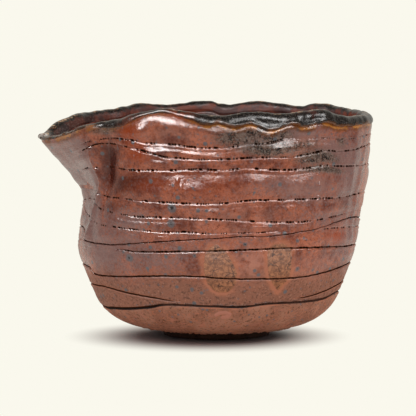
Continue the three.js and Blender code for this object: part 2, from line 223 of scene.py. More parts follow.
# Painted sheen: where a mauve veil is painted on the red, standing in for the glaze's reflection of the
# pale room
PAINTED_SHEEN = [
    (6, 74, 14, 14, 1), (24, 70, 9, 16, 1), (31, 67, 4, 12, 0.9), (20, 48, 14, 12, 1),
    (40, 38, 14, 10, 0.7), (66, 34, 14, 6, 0.5), (154, 66, 14, 14, 0.7), (156, 40, 12, 12, 0.6),
    (128, 60, 12, 6, 0.6), (112, 62, 10, 4, 0.4), (130, 48, 12, 4, 0.4), (118, 80, 14, 4, 0.9),
    (138, 74, 12, 6, 0.7), (54, 49, 10, 5, 0.6), (-28, 66, 8, 14, 1), (-60, 48, 20, 12, 0.8),
    (-118, 63, 18, 8, 0.8), (-150, 40, 20, 10, 0.7), (-92, 38, 16, 8, 0.6), (-172, 70, 14, 12, 0.7),
    (-78, 72, 12, 6, 0.6), (102, 77, 10, 4, 0.5), (90, 40, 14, 4, 0.3),
]
# How strong the amber line under the rim coat is, and how thick the bead above it
AMBER_LINE = [(-180, 0.5), (-40, 0.4), (0, 0.7), (30, 0.7), (45, 0.2), (78, 0.2), (88, 1), (155, 1),
              (168, 0.7)]
BEAD_LINE = [(-180, 0.4), (-40, 0.3), (20, 0.1), (60, 0.1), (82, 0.4), (95, 0.8), (125, 0.9),
             (140, 0.5), (165, 0.3)]

# Folds pressed into the clay at the spout: a path by degrees and height, its half-width and rise
FOLDS = [
    {"path": [(36.2, 79), (35.4, 71.5), (36.6, 66), (36.7, 62.8), (33.8, 58)], "width": 0.9, "rise": 1},
    {"path": [(42, 77), (42.5, 68), (41, 60)], "width": 2.2, "rise": -0.6},
    {"path": [(33.8, 58), (30.4, 53.6), (27.5, 46.3), (23.3, 41), (20, 38)], "width": 1.6, "rise": 0.8},
    {"path": [(37, 55), (34, 49), (30, 42)], "width": 3, "rise": -0.7},
    {"path": [(24, 56), (20, 48), (14, 41)], "width": 3, "rise": -0.5},
    {"path": [(151, 82), (152, 60), (154, 44)], "width": 1.8, "rise": 0.3},
    {"path": [(158, 80), (159, 55)], "width": 2, "rise": -0.3},
    {"path": [(163, 74), (161, 40)], "width": 1.8, "rise": 0.3},
]
# A curl of slip smeared on the base, by degrees and height
SMEAR = [(89.5, 12.6), (91, 13.4), (94, 13.6), (96, 12.8), (95.4, 11.9), (92.6, 11.6)]
SMEAR_WIDTH = 0.6


def smooth_curve(points):
    """A smooth curve through points, looked up by their first number."""
    knots = np.array(points, float)
    knots = np.vstack([knots[:1], knots, knots[-1:]])
    step = np.linspace(0, 1, LOOK_UP_STEPS, endpoint=False)[:, None]
    parts = []
    for before, low, high, after in zip(knots, knots[1:], knots[2:], knots[3:]):
        leave = (high - before) / 2
        arrive = (after - low) / 2
        bend = 3 * (high - low) - 2 * leave - arrive
        twist = 2 * (low - high) + leave + arrive
        parts.append(low + leave * step + bend * step**2 + twist * step**3)
    samples = np.vstack([*parts, knots[-1:]])
    return lambda at: np.interp(at, samples[:, 0], samples[:, 1])


def turns(points):
    return [(degrees + 360 * turn, value) for turn in (-1, 0, 1) for degrees, value in points]


def round_curve(points):
    return smooth_curve(turns(points))


def round_share(points):
    table = np.array(turns(points), float)
    return lambda at: np.interp(at, table[:, 0], table[:, 1])


def smoothstep(at, low, high):
    step = np.clip((at - low) / (high - low), 0, 1)
    return step * step * (3 - 2 * step)


def bell(at, spread):
    return np.exp(-((at / spread) ** 2))


rim_rise = round_curve(RIM_LINE)
joint_height = round_curve(JOINT_LINE)
wall_radius = smooth_curve([
    (CHINE, CHINE_RADIUS),
    (BELLY, BELLY_RADIUS),
    ((BELLY + SHOULDER) / 2, (BELLY_RADIUS + SHOULDER_RADIUS) / 2),
    (SHOULDER, SHOULDER_RADIUS),
    (RIM, RIM_RADIUS),
])


def underside(steps):
    """The base dish's outside from the foot to the joint: radius and height."""
    step = np.linspace(0, 1, steps)
    radius = FOOT_RADIUS * (1 - step) ** 2
    radius = radius + UNDERSIDE_RADIUS * 2 * step * (1 - step) + CHINE_RADIUS * step**2
    return radius, FOOT_HEIGHT + (CHINE - FOOT_HEIGHT) * step**2


def body_radius(height):
    """The clay's outside radius at any height."""
    radius, rise = underside(LOOK_UP_STEPS * 2)
    return np.where(height < CHINE, np.interp(height, rise, radius), wall_radius(height))


def clay_thickness(height):
    return WALL + (LIP - WALL) * np.clip((height - CHINE) / (LIP_CENTRE - CHINE), 0, 1)


def lift(degrees, height):
    return smoothstep(height, RIM - RIM_DEPTH, LIP_CENTRE) * rim_rise(degrees)


def spout_push(degrees, height):
    up = np.clip((height - SPOUT_ROOT) / SPOUT_LENGTH, 0, 1)
    return SPOUT_REACH * up**SPOUT_FLARE / (1 + (degrees / SPOUT_ANGLE) ** 2)


def pressed(height):
    """How much of the dents and flat cheeks beside the spout a height has."""
    fade_in = smoothstep(height, SPOUT_ROOT - CREASE_TOE, SPOUT_ROOT + SPOUT_LENGTH / 3)
    return fade_in * (1 + (CREASE_TOP - 1) * smoothstep(height, SPOUT_ROOT + SPOUT_LENGTH / 2, RIM))


def cheek_push(degrees, height):
    return -CHEEK_DEPTH * pressed(height) * bell(np.abs(degrees) - CHEEK_ANGLE, CHEEK_SPREAD)


def crease_push(degrees, height):
    up = np.clip((height - SPOUT_ROOT) / SPOUT_LENGTH, 0, 1)
    aside = np.abs(degrees) - CREASE_ROOT_ANGLE - (CREASE_RIM_ANGLE - CREASE_ROOT_ANGLE) * up
    aside = np.abs(aside) / np.where(aside < 0, CREASE_STEEP, CREASE_SPREAD)
    return -CREASE_DEPTH * pressed(height) * np.exp(-(aside**CREASE_EDGE))


def facet_push(degrees, height):
    up = np.clip((height - SPOUT_ROOT + FACET_LENGTH) / FACET_LENGTH, 0, 1)
    half = FACET_TOE_ANGLE + (FACET_TOP_ANGLE - FACET_TOE_ANGLE) * up
    fade_out = 1 - smoothstep(height, SPOUT_ROOT, RIM - SPOUT_LENGTH / 6)
    across = np.exp(-(np.abs(degrees / half) ** FACET_CORNER))
    return -FACET_DEPTH * smoothstep(up, 0, 1) * fade_out * across


def lump_push(degrees, height):
    total = np.zeros_like(height)
    for count, rise, crest, pitch in WALL_LUMPS:
        total += rise * np.cos(count * np.radians(degrees - crest) + 2 * math.pi * height / pitch)
    return smoothstep(height, CHINE, BELLY) * total


def alter_by_hand(degrees, radius, height):
    """Thrown radius and height to a place in millimetres round the bowl's axis."""
    altered = radius
    for push in (spout_push, cheek_push, crease_push, facet_push, lump_push):
        altered = altered + push(degrees, height)
    turn = np.radians(degrees)
    return -altered * np.cos(turn), -altered * np.sin(turn), height + lift(degrees, height)


def unrolled(place, offset):
    """Radius and height of a place on the wall's skin: up the outside, over the lip, down inside."""
    over = np.clip((place - LIP_CENTRE) / LIP_ROUND, 0, math.pi)
    inside = np.maximum(place - LIP_CENTRE - math.pi * LIP_ROUND, 0)
    centre = wall_radius(LIP_CENTRE) - LIP_ROUND
    lip_radius = centre + (LIP_ROUND + offset) * np.cos(over)
    lip_height = LIP_CENTRE + (LIP_ROUND + offset) * np.sin(over)
    deep = LIP_CENTRE - inside
    deep_radius = wall_radius(deep) - clay_thickness(deep) - offset
    radius = np.where(place <= LIP_CENTRE, body_radius(place) + offset, lip_radius)
    height = np.where(place <= LIP_CENTRE, place, lip_height)
    return np.where(inside > 0, deep_radius, radius), np.where(inside > 0, deep, height)


# Turning

foot_low, foot_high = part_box("foot_ring")
AXIS = (Vector(foot_low) + Vector(foot_high)) / 2


def wheel(columns):
    """Degrees from the spout's tip for each column, closer together at the front."""
    thrown = np.arange(columns) * 360 / columns
    eased = thrown - np.degrees(CROWDING) * np.sin(np.radians(thrown - CROWDED_AT))
    return (eased + 180) % 360 - 180


def merged(mesh):
    """Closes the seams and poles of a mesh and faces it outwards."""
    body = bmesh.new()
    body.from_mesh(mesh)
    bmesh.ops.remove_doubles(body, verts=body.verts, dist=SEAM * MM)
    bmesh.ops.recalc_face_normals(body, faces=body.faces)
    body.to_mesh(mesh)
    body.free()


def turned(name, radius, height, closed=True, fields=None):
    """A piece thrown on the wheel from a grid of radii and heights, then altered by hand."""
    rows, columns = radius.shape
    body = bmesh.new()
    bmesh.ops.create_grid(body, x_segments=columns, y_segments=rows if closed else rows - 1, size=1)
    mesh = bpy.data.meshes.new(name)
    body.to_mesh(mesh)
    body.free()
    places = np.zeros(len(mesh.vertices) * 3)
    mesh.vertices.foreach_get("co", places)
    across, along = (places.reshape(-1, 3)[:, :2].T + 1) / 2
    column = np.rint(across * columns).astype(int) % columns
    row = np.rint(along * (rows if closed else rows - 1)).astype(int) % rows
    altered = alter_by_hand(wheel(columns)[column], radius[row, column], height[row, column])
    placed = np.stack(altered, axis=1) * MM + np.array([AXIS.x, AXIS.y, 0])
    mesh.vertices.foreach_set("co", placed.ravel())
    for label, grid in (fields or {}).items():
        layer = mesh.attributes.new(label, "FLOAT", "POINT")
        layer.data.foreach_set("value", grid[row, column].astype(float))
    merged(mesh)
    mesh.shade_smooth()
    piece = bpy.data.objects.new(name, mesh)
    bpy.context.scene.collection.objects.link(piece)
    return piece


def grain(degrees, height, size, seed):
    """Smooth noise on the wall, from -1 to 1, with features of about the given size."""
    turn = np.radians(degrees)
    x = CHINE_RADIUS * np.cos(turn) / size
    y = CHINE_RADIUS * np.sin(turn) / size
    z = np.broadcast_to(height / size, np.broadcast(degrees, height).shape)
    x = np.broadcast_to(x, z.shape)
    y = np.broadcast_to(y, z.shape)
    flat = [noise.noise((a + seed, b - seed, c)) for a, b, c in zip(x.ravel(), y.ravel(), z.ravel())]
    return np.array(flat).reshape(z.shape)


# Outer coat

LINE_GRAIN = [(0.14, 1.7, 3.3)]  # wobble of a drawn line: height, size, seed
LINE_APART = 9  # gives each line its own wobble
BRIDGE_PITCH = 1.3  # of the glaze bridges along a cut
BRIDGE_SHIFT = 7  # from cut to cut
BRIDGE_DRIFT = 0.55
DRIFT_WAVES = [(1, 2.3, 0), (0.7, 0.9, 1)]  # height, length, shift from cut to cut
BRIDGE_WAVES = [(0.7, 1.1, 3), (0.45, 4.3, 1)]
BRIDGE_EDGE = (-0.8, -0.2)
CUT_SLACK = 0.3  # wall that stays between the sides of two cuts
LIP_EVEN = 0.4  # share of a cut's lip that runs on past the bridges
PILLOW = 0.55  # swelling of the wall between two cuts
PILLOW_ROUND = 0.7
PILLOW_GAP = 6  # a wall this tall between two cuts swells in full
PILLOW_RISE = (20, 44)  # heights over which the swelling sets in
PILLOW_EVEN = 0.7
PILLOW_GRAIN = [(0.6, 9, 2.6)]
COAT = 0.95  # outside of the coat above the clay
COAT_LOW = 0.45  # the same at the joint
COAT_RISE = (14, 40)
UNDER_RIM = 0.9  # the coat runs on under the rim coat, and thins out there
UNDER_RIM_COAT = 0.35
UNDER_RIM_FADE = 1.2
WALL_GRAIN = [(0.34, 12, 3.1), (0.24, 5, 8.7)]
WALL_RISE = (12, 45)
FINE_GRAIN = [(0.06, 2.2, 4.9)]
MARK_GRAIN = [(0.12, 1.1, 2.3)]
MARK_EDGE = (-0.5, 0.4)
MARK_DEPTH = 0.3
LEAST_COAT = 0.3  # the coat stands off the clay by this at least
LEAST_AT_SPOUT = 0.25  # added at the spout
SPOUT_SIDE = 60
SPOUT_SIDE_FADE = 10
SPOUT_RISE = (36, 44)
LEAST_AT_CREASE = 0.6  # added in its creases
CREASE_SIDE = 40
CREASE_SIDE_WIDTH = 10
CREASE_RISE = (36, 46)
CREASE_PEAK = 57
CREASE_PEAK_HEIGHT = 6
COAT_BACK = 0.08  # inside of a coat above the clay
OUTER_BACK_ROWS = 6
CLOUDS = {"dusk": DUSK, "ember": EMBER, "painted_crease_shade": PAINTED_CREASE_SHADE, "blush_and_sheen": BLUSH_AND_SHEEN, "painted_sheen": PAINTED_SHEEN}


def grains(degrees, height, parts):
    """A sum of smooth noises, each with its height, size and seed."""
    return sum(rise * grain(degrees, height, size, seed) for rise, size, seed in parts)


def cut_lines(degrees):
    """Heights of the cuts and the joint, kept apart."""
    levels = []
    for index, cut in enumerate(CUTS):
        wobble = grains(degrees, np.full_like(degrees, LINE_APART * index), LINE_GRAIN)
        levels.append(round_curve(cut["line"])(degrees) + wobble)
    levels.append(joint_height(degrees))
    for index in reversed(range(len(CUTS))):
        levels[index] = np.maximum(levels[index], levels[index + 1] + CUT_SPACE)
    return levels


def waves(along, index, parts):
    """A sum of waves along a cut, each shifted from cut to cut."""
    return sum(height * np.sin(along / length + shift * index) for height, length, shift in parts)


def bridges(degrees, index, amount):
    """Share of a cut that the glaze left open, along its line."""
    along = np.radians(degrees) * BELLY_RADIUS + BRIDGE_SHIFT * index
    drifted = along + BRIDGE_DRIFT * BRIDGE_PITCH * waves(along, index, DRIFT_WAVES)
    wave = np.sin(2 * math.pi * drifted / BRIDGE_PITCH) + waves(along, index, BRIDGE_WAVES)
    return 1 - amount * smoothstep(wave, *BRIDGE_EDGE)


def band_edge(degrees):
    """Place of the rim coat's lower edge outside, on the unrolled skin."""
    reach = round_curve(BAND_LINE)(degrees)
    on_lip = LIP_CENTRE + LIP_ROUND * np.arcsin(np.clip(1 - reach / LIP_ROUND, 0, 1))
    return np.where(reach < LIP_ROUND, on_lip, RIM - reach)


def path_distance(degrees, height, path):
    """Distance to a path over the wall, and which places lie inside it if it is closed."""
    scale = np.radians(1) * BELLY_RADIUS
    across = degrees * scale
    distance = np.full(degrees.shape, FAR)
    inside = np.zeros(degrees.shape, bool)
    corners = np.array(path, float) * (scale, 1)
    for (x0, y0), (x1, y1) in zip(corners, corners[1:]):
        dx, dy = x1 - x0, y1 - y0
        share = np.clip(((across - x0) * dx + (height - y0) * dy) / (dx * dx + dy * dy), 0, 1)
        distance = np.minimum(distance, np.hypot(across - x0 - share * dx, height - y0 - share * dy))
        if dy:
            inside ^= ((y0 > height) != (y1 > height)) & (across < x0 + (height - y0) * dx / dy)
    return distance, inside


def mark_distance(degrees, height):
    """Distance to the nearest finger mark's outline, negative inside it."""
    nearest = np.full(degrees.shape, FAR)
    for outline in FINGER_MARKS:
        distance, inside = path_distance(degrees, height, outline + outline[:1])
        nearest = np.minimum(nearest, np.where(inside, -distance, distance))
    return nearest


def fold_relief(degrees, height):
    total = np.zeros(degrees.shape)
    for fold in FOLDS:
        distance, _ = path_distance(degrees, height, fold["path"])
        total += fold["rise"] * bell(distance, fold["width"])
    return total


def spot_distance(degrees, height):
    """Distance to the nearest boiled spot, in its radii."""
    nearest = np.full(degrees.shape, FAR)
    for centre, rise, radius in SPOTS:
        across = np.radians(degrees - centre) * wall_radius(rise)
        nearest = np.minimum(nearest, np.hypot(across, height - rise) / radius)
    return nearest


def clouds(degrees, height, patches):
    """The sum of soft patches on the wall."""
    total = np.zeros(degrees.shape)
    for centre, rise, wide, tall, strength in patches:
        across = np.radians(degrees - centre) * wall_radius(rise)
        total += strength * bell(across, wide) * bell(height - rise, tall)
    return total


def pillow(degrees, place, share, gap):
    """Swelling of the glaze between two cuts, a share of the way down."""
    swell = (4 * share * (1 - share)) ** PILLOW_ROUND * np.clip(gap / PILLOW_GAP, 0, 1)
    uneven = PILLOW_EVEN + grains(degrees, place, PILLOW_GRAIN)
    return PILLOW * swell * smoothstep(place, *PILLOW_RISE) * uneven


def wall_rows(degrees, start, end, count):
    """Rows of the swelling wall between two cuts: place, groove share and relief."""
    rows = []
    for step in range(1, count + 1):
        share = step / (count + 1)
        place = start + (end - start) * share
        rows.append((place, np.zeros_like(degrees), pillow(degrees, place, share, start - end)))
    return rows


def cut_rows(degrees, index, level, above, below):
    """Rows across one cut, squeezed into the room above and below its line."""
    cut = CUTS[index]
    share = round_share(cut["depth"])(degrees)
    bridged = bridges(degrees, index, cut["bridged"])
    opened = share * bridged
    beaded = share * (LIP_EVEN + (1 - LIP_EVEN) * np.roll(bridged, index))
    rows = []
    for offset, groove, lip in CUT_SECTION:
        squeeze = above / CUT_ABOVE if offset > 0 else below / CUT_BELOW
        sunk = groove * opened
        rows.append((level + offset * squeeze, sunk, lip * beaded - CUT_DEPTH * sunk))
    return rows


def room(space, reach):
    """How far a cut's side reaches into the space before the next line."""
    return np.minimum(reach, space * reach / (CUT_ABOVE + CUT_BELOW + CUT_SLACK))


def coat_rows(degrees):
    """Unrolled place, groove share and relief for each row of the coat's face, from the top."""
    levels = cut_lines(degrees)
    zero = np.zeros_like(degrees)
    upper = band_edge(degrees) + UNDER_RIM
    upper_tail = zero
    rows = [(upper, zero, zero)]
    for index, level in enumerate(levels):
        last = index == len(CUTS)
        lower_tail = zero if last else room(upper - level, CUT_ABOVE)
        rows += wall_rows(degrees, upper - upper_tail, level + lower_tail, GAP_ROWS[index])
        if not last:
            upper_tail = room(level - levels[index + 1], CUT_BELOW)
            rows += cut_rows(degrees, index, level, lower_tail, upper_tail)
            upper = level
    for above, groove in JOINT_SECTION:
        rows.append((levels[-1] + above, zero + groove, zero - JOINT_DEPTH * groove))
    return [np.array(grid) for grid in zip(*rows)]


def least_coat(around, places):
    """The least that the coat stands off the clay: more at the spout and in its creases."""
    aside = np.abs(around)
    at_spout = smoothstep(places, *SPOUT_RISE) * smoothstep(SPOUT_SIDE - aside, 0, SPOUT_SIDE_FADE)
    at_crease = smoothstep(places, *CREASE_RISE) * bell(aside - CREASE_SIDE, CREASE_SIDE_WIDTH)
    at_crease *= 1 + bell(places - CREASE_PEAK, CREASE_PEAK_HEIGHT)
    return LEAST_COAT + LEAST_AT_SPOUT * at_spout + LEAST_AT_CREASE * at_crease


def coat(name, places, offset, back_rows, fields):
    """A coat on the clay: a face by unrolled places, and a plain back with one value of each field."""
    back = np.linspace(places[-1], places[0], back_rows)
    face_radius, face_height = unrolled(places, offset)
    back_radius, back_height = unrolled(back, COAT_BACK)
    radius = np.vstack([face_radius, back_radius])
    height = np.vstack([face_height, back_height])
    grids = {}
    for label, (face, behind) in fields.items():
        grids[label] = np.vstack([face, np.full_like(back, behind)])
    return turned(name, radius, height, fields=grids)


def outer_coat():
    degrees = wheel(COLUMNS)
    places, grooves, reliefs = coat_rows(degrees)
    around = np.broadcast_to(degrees, places.shape)
    marks = mark_distance(around, places)
    bare = smoothstep(-marks, *MARK_EDGE)
    top_fade = smoothstep(places[0] - places, 0, UNDER_RIM_FADE)
    cover = COAT_LOW + (COAT - COAT_LOW) * smoothstep(places, *COAT_RISE)
    cover *= UNDER_RIM_COAT + (1 - UNDER_RIM_COAT) * top_fade
    rough = grains(around, places, WALL_GRAIN) * smoothstep(places, *WALL_RISE)
    rough += grains(around, places, FINE_GRAIN) + bare * grains(around, places, MARK_GRAIN)
    offset = cover + reliefs + rough - MARK_DEPTH * bare
    offset += clouds(around, places, LUMPS) + fold_relief(around, places)
    offset = np.maximum(offset, least_coat(around, places))
    fields = {
        "groove": (grooves, 0),
        "mark": (marks, FAR),
        "spot": (spot_distance(around, places), FAR),
        "below_band": (band_edge(around) - places, FAR),
        "amber": (round_share(AMBER_LINE)(around), 0),
    }
    for label, patches in CLOUDS.items():
        fields[label] = (clouds(around, places, patches), 0)
    return coat("outer_coat", places, offset, OUTER_BACK_ROWS, fields)


# Rim coat

RIM_COAT = 1.05  # outside of the rim coat above the clay
RIM_EDGE = 0.3  # thickness at its edges
RIM_EDGE_ROUND = (-0.02, 0.7)
RIM_ROWS = 44
RIM_CROWDING = 1.5  # rows are closer together at the lower edge
RIM_BACK_ROWS = 12
RIM_EDGE_GRAIN = [(0.3, 1.6, 5.5), (0.35, 4.5, 2.8)]
RIM_GRAIN = [(0.5, 5.5, 1.9)]
RIM_FINE_GRAIN = [(0.22, 2.1, 6.6)]
RIM_FINE_RISE = (0.6, 2)
RIM_REACH_INSIDE = 2
RIM_INSIDE_GRAIN = [(1.2, 9, 4.2)]
RIM_INSIDE_FADE = 1.5
BEAD_PLACE = 1  # above the lower edge
BEAD_WIDTH = 1.1
BEAD_ROOM = 0.5
BEAD_FADE = 1.5
SPOUT_MOUTH = 40  # degrees
TIP_HIGHLIGHT_AT = 2  # degrees of the painted highlight on the bead at the spout's tip
TIP_HIGHLIGHT_WIDTH = 2.5
# Drops of glaze on the rim: degrees, height, half-width, half-height, rise
RIM_BEADS = [
    (2, 86.8, 1.8, 1.4, 1.3), (20, 87, 1.2, 1, 0.5), (31, 87, 2, 1, 0.4), (121, 84, 5, 1.6, 0.5),
    (132, 85.6, 5, 2, 0.8), (143, 85.6, 3, 1.6, 0.6),
]


def rim_coat():
    degrees = wheel(COLUMNS)
    level = np.zeros_like(degrees)
    low = band_edge(degrees) + grains(degrees, level, RIM_EDGE_GRAIN)
    over_lip = LIP_CENTRE + math.pi * LIP_ROUND
    far = over_lip + RIM_REACH_INSIDE + grains(degrees, level, RIM_INSIDE_GRAIN)
    steps = np.linspace(0, 1, RIM_ROWS) ** RIM_CROWDING
    places = low + (far - low) * steps[:, None]
    around = np.broadcast_to(degrees, places.shape)
    from_edge = places - low
    thick = RIM_COAT + grains(around, places, RIM_GRAIN) + clouds(around, places, RIM_BEADS)
    thick += grains(around, places, RIM_FINE_GRAIN) * smoothstep(from_edge, *RIM_FINE_RISE)
    bead = round_share(BEAD_LINE)(degrees) * bell(from_edge - BEAD_PLACE, BEAD_WIDTH)
    thick += bead * smoothstep(LIP_CENTRE + BEAD_ROOM - low, 0, BEAD_FADE)
    edge = np.sqrt(smoothstep(from_edge, *RIM_EDGE_ROUND)) * smoothstep(far - places, 0, RIM_INSIDE_FADE)
    offset = RIM_EDGE + (thick - RIM_EDGE) * edge
    fields = {
        "from_edge": (from_edge, 0),
        "from_top": (places - (LIP_CENTRE + over_lip) / 2, 0),
        "amber": (round_share(AMBER_LINE)(around), 0),
        "mouth": (bell(around, SPOUT_MOUTH), 0),
        "tip": (bell(around - TIP_HIGHLIGHT_AT, TIP_HIGHLIGHT_WIDTH), 0),
        "ember": (clouds(around, np.minimum(places, RIM), EMBER), 0),
    }
    return coat("rim_coat", places, offset, RIM_BACK_ROWS, fields)


# Lining

LINING = 0.75  # face of the lining above the clay
LINING_ROWS = 90
FLOOR_ROWS = 30
HEEL = CHINE + 2.4  # where the floor's curve meets the wall
LINING_TOP = RIM - 3
LINING_BACK = 0.05  # back of the lining above the clay
LINING_GRAIN = [(0.1, 8, 9.2)]
LINING_RIM_FADE = 4
THROWING_RING = 0.22
RING_PITCH = 7.5
RING_RISE = (6, 20)  # distances from the middle over which the rings set in
RING_EVEN = 0.6
RING_GRAIN = [(0.8, 14, 3.7)]
POOL = 0.9  # glaze pooled in the corner of the floor
POOL_WIDTH = 3.5
AXIS_GAP = 0.02  # least radius beside the pole
TINY = 1e-6


def lining_curve(offset):
    """From the middle of the floor to the rim: radius and height of the clay inside, moved in."""
    step = np.linspace(0, 1, FLOOR_ROWS)
    turn_radius = UNDERSIDE_RADIUS - WALL
    edge_radius = CHINE_RADIUS - WALL
    radius = 2 * step * (1 - step) * turn_radius + step**2 * edge_radius
    height = FLOOR_TOP + (HEEL - FLOOR_TOP) * step**2
    up = np.linspace(HEEL, LINING_TOP, LINING_ROWS - FLOOR_ROWS + 1)[1:]
    radius = np.concatenate([radius, wall_radius(up) - clay_thickness(up)])
    height = np.concatenate([height, up])
    slope = np.gradient(height) / np.maximum(np.hypot(np.gradient(radius), np.gradient(height)), TINY)
    flat = np.sqrt(1 - np.clip(slope, 0, 1) ** 2)
    return radius - offset * slope * (radius > 0), height + offset * flat


def lining():
    degrees = wheel(FINE_COLUMNS)
    radius, height = lining_curve(0)
    along = np.cumsum(np.hypot(np.gradient(radius), np.gradient(height)))[:, None]
    around, up = np.broadcast_arrays(degrees, height[:, None])
    swell = THROWING_RING * np.sin(2 * math.pi * along / RING_PITCH + np.radians(degrees))
    swell *= smoothstep(along, *RING_RISE) * (RING_EVEN + grains(around, up, RING_GRAIN))
    swell += POOL * bell(along - along[FLOOR_ROWS - 1], POOL_WIDTH) + grains(around, up, LINING_GRAIN)
    swell *= smoothstep(along[-1] - along, 0, LINING_RIM_FADE)
    face_radius, face_height = lining_curve(LINING)
    back_radius, back_height = lining_curve(LINING_BACK)
    face_radius = face_radius[:, None]
    face = np.where(face_radius > 0, np.maximum(face_radius - swell, AXIS_GAP), 0)
    ones = np.ones_like(degrees)
    radii = np.vstack([face, back_radius[::-1, None] * ones])
    heights = np.vstack([face_height[:, None] * ones, back_height[::-1, None] * ones])
    return turned("lining", radii, heights, closed=False)


# Base dish and foot

BASE_ROWS = 60
BASE_SKIN = 0.36  # outside of the fine base above the solid one
BASE_SKIN_RISE = (0.05, 0.4)  # shares of the way up over which it sets in
BASE_START = 0.05
BASE_GRAIN = [(0.14, 6, 4.4), (0.06, 1.6, 1.2)]
BASE_SLANT = 0.8
JOINT_LIP = (0.3, 1.1)  # below the joint
JOINT_SINK = 0.75
JOINT_ROLL = 0.15
JOINT_ROLL_PLACE = 1.5
JOINT_ROLL_WIDTH = 0.5
BASE_TOP = [(0.4, 0.05), (3.8, 1.2)]  # how the base goes in under the wall: inset, rise
FLOOR_GAP = 0.02  # from the base's floor to the lining
CRUMBS = 0.5  # how far crumbs of clay hang down round the foot
CRUMB_RADIUS = 29.6
CRUMB_WIDTH = 0.9
CRUMB_GRAIN = [(1, 1.8, 7.3)]
CRUMB_EDGE = (-0.3, 0.4)
TRIM_DEPTH = 0.35  # of the line turned beside the crumbs
TRIM_RADIUS = 31.6
TRIM_WIDTH = 0.5
SMEAR_RISE = 0.4
MIDDLE_ROWS = 16
MIDDLE_INSET = 0.5
MIDDLE_RISE = 0.25
MIDDLE_RING = 0.18
MIDDLE_PITCH = 2.8
MIDDLE_FADE = 4
SHADE_RADIUS = 28.6  # painted shade: the base is dark inside this radius
SHADE_FADE = 0.6


def crumbs(around, radius):
    """How far the crumbs round the foot hang down, and the turned line beside them goes in."""
    grit = smoothstep(grains(around, radius, CRUMB_GRAIN), *CRUMB_EDGE)
    hang = CRUMBS * bell(radius - CRUMB_RADIUS, CRUMB_WIDTH) * grit
    return hang - TRIM_DEPTH * bell(radius - TRIM_RADIUS, TRIM_WIDTH)


def base_middle(degrees):
    """The underside inside the foot, with rings from turning."""
    radius = np.linspace(0, FOOT_RADIUS - MIDDLE_INSET, MIDDLE_ROWS)[:, None]
    rings = MIDDLE_RING * np.sin(2 * math.pi * radius / MIDDLE_PITCH) * smoothstep(radius, 0, MIDDLE_FADE)
    ones = np.ones_like(degrees)
    return radius * ones, (FOOT_HEIGHT + MIDDLE_RISE + rings) * ones


def base_floor(degrees):
    """The floor under the lining, from its edge to the middle."""
    rows = slice(FLOOR_ROWS - 2, None, -1)
    return [line[rows, None] * np.ones_like(degrees) for line in lining_curve(-FLOOR_GAP)]


def base_dish():
    degrees = wheel(FINE_COLUMNS)
    joint = joint_height(degrees)
    share = np.linspace(0, 1, BASE_ROWS)[:, None]
    rises = underside(BASE_ROWS)[1][:, None] + (joint - CHINE) * share**2
    outer = body_radius(rises)
    outer[0] = FOOT_RADIUS
    around = np.broadcast_to(degrees, outer.shape)
    below = joint - rises
    lip = smoothstep(below, *JOINT_LIP)
    smear = bell(path_distance(around, rises, SMEAR)[0], SMEAR_WIDTH)
    offset = BASE_SKIN * smoothstep(share, *BASE_SKIN_RISE) + grains(around, rises, BASE_GRAIN)
    offset += JOINT_ROLL * bell(below - JOINT_ROLL_PLACE, JOINT_ROLL_WIDTH) - JOINT_SINK * (1 - lip)
    offset *= smoothstep(share, 0, BASE_START)
    offset += SMEAR_RISE * smear
    slope = np.sqrt(share)
    radii = outer + offset * slope
    heights = rises - offset * (1 - slope) * BASE_SLANT - crumbs(around, outer)
    top_radius = [radii[-1] - inset for inset, _ in BASE_TOP]
    top_height = [heights[-1] + rise for _, rise in BASE_TOP]
    middle_radius, middle_height = base_middle(degrees)
    floor_radius, floor_height = base_floor(degrees)
    radius = np.vstack([middle_radius, radii, *top_radius, floor_radius])
    height = np.vstack([middle_height, heights, *top_height, floor_height])
    shade = smoothstep(SHADE_RADIUS - outer, 0, SHADE_FADE)
    fields = {}
    # Painted shade: the underside inside the foot is marked to be darkened
    for label, grid, inside in (("groove", 1 - lip, 0), ("smear", smear, 0), ("under", shade, 1)):
        fields[label] = np.zeros_like(radius)
        fields[label][:MIDDLE_ROWS] = inside
        fields[label][MIDDLE_ROWS:MIDDLE_ROWS + BASE_ROWS] = grid
    return turned("base_dish_fine", radius, height, closed=False, fields=fields)


FOOT_TOP = FOOT_HEIGHT + 0.4
# Half of the foot's section, from the middle of its sole up: distance in from its face, height
FOOT_SECTION = [(2.5, 0), (1.3, 0), (0.5, 0.2), (0.1, 0.8), (0, 1.6), (-0.1, 2.4), (-0.4, FOOT_TOP)]
FOOT_GRAIN = [(0.15, 3, 6.1)]
FOOT_WEAR_RISE = (0.1, 0.8)


def foot_ring():
    degrees = wheel(FINE_COLUMNS)
    inner = FOOT_RADIUS - FOOT_WIDTH
    section = [(FOOT_RADIUS - inset, height) for inset, height in FOOT_SECTION]
    section += [(inner + inset, height) for inset, height in reversed(FOOT_SECTION)]
    radius, height = (np.array(line)[:, None] * np.ones_like(degrees) for line in zip(*section))
    around = np.broadcast_to(degrees, radius.shape)
    wear = grains(around, radius + height, FOOT_GRAIN) * smoothstep(height, *FOOT_WEAR_RISE)
    return turned("foot_ring_fine", radius + wear, height)


# Materials

NOISE_MEAN = 0.5
NOISE_DETAIL = 3
NOISE_ROUGH = 0.55


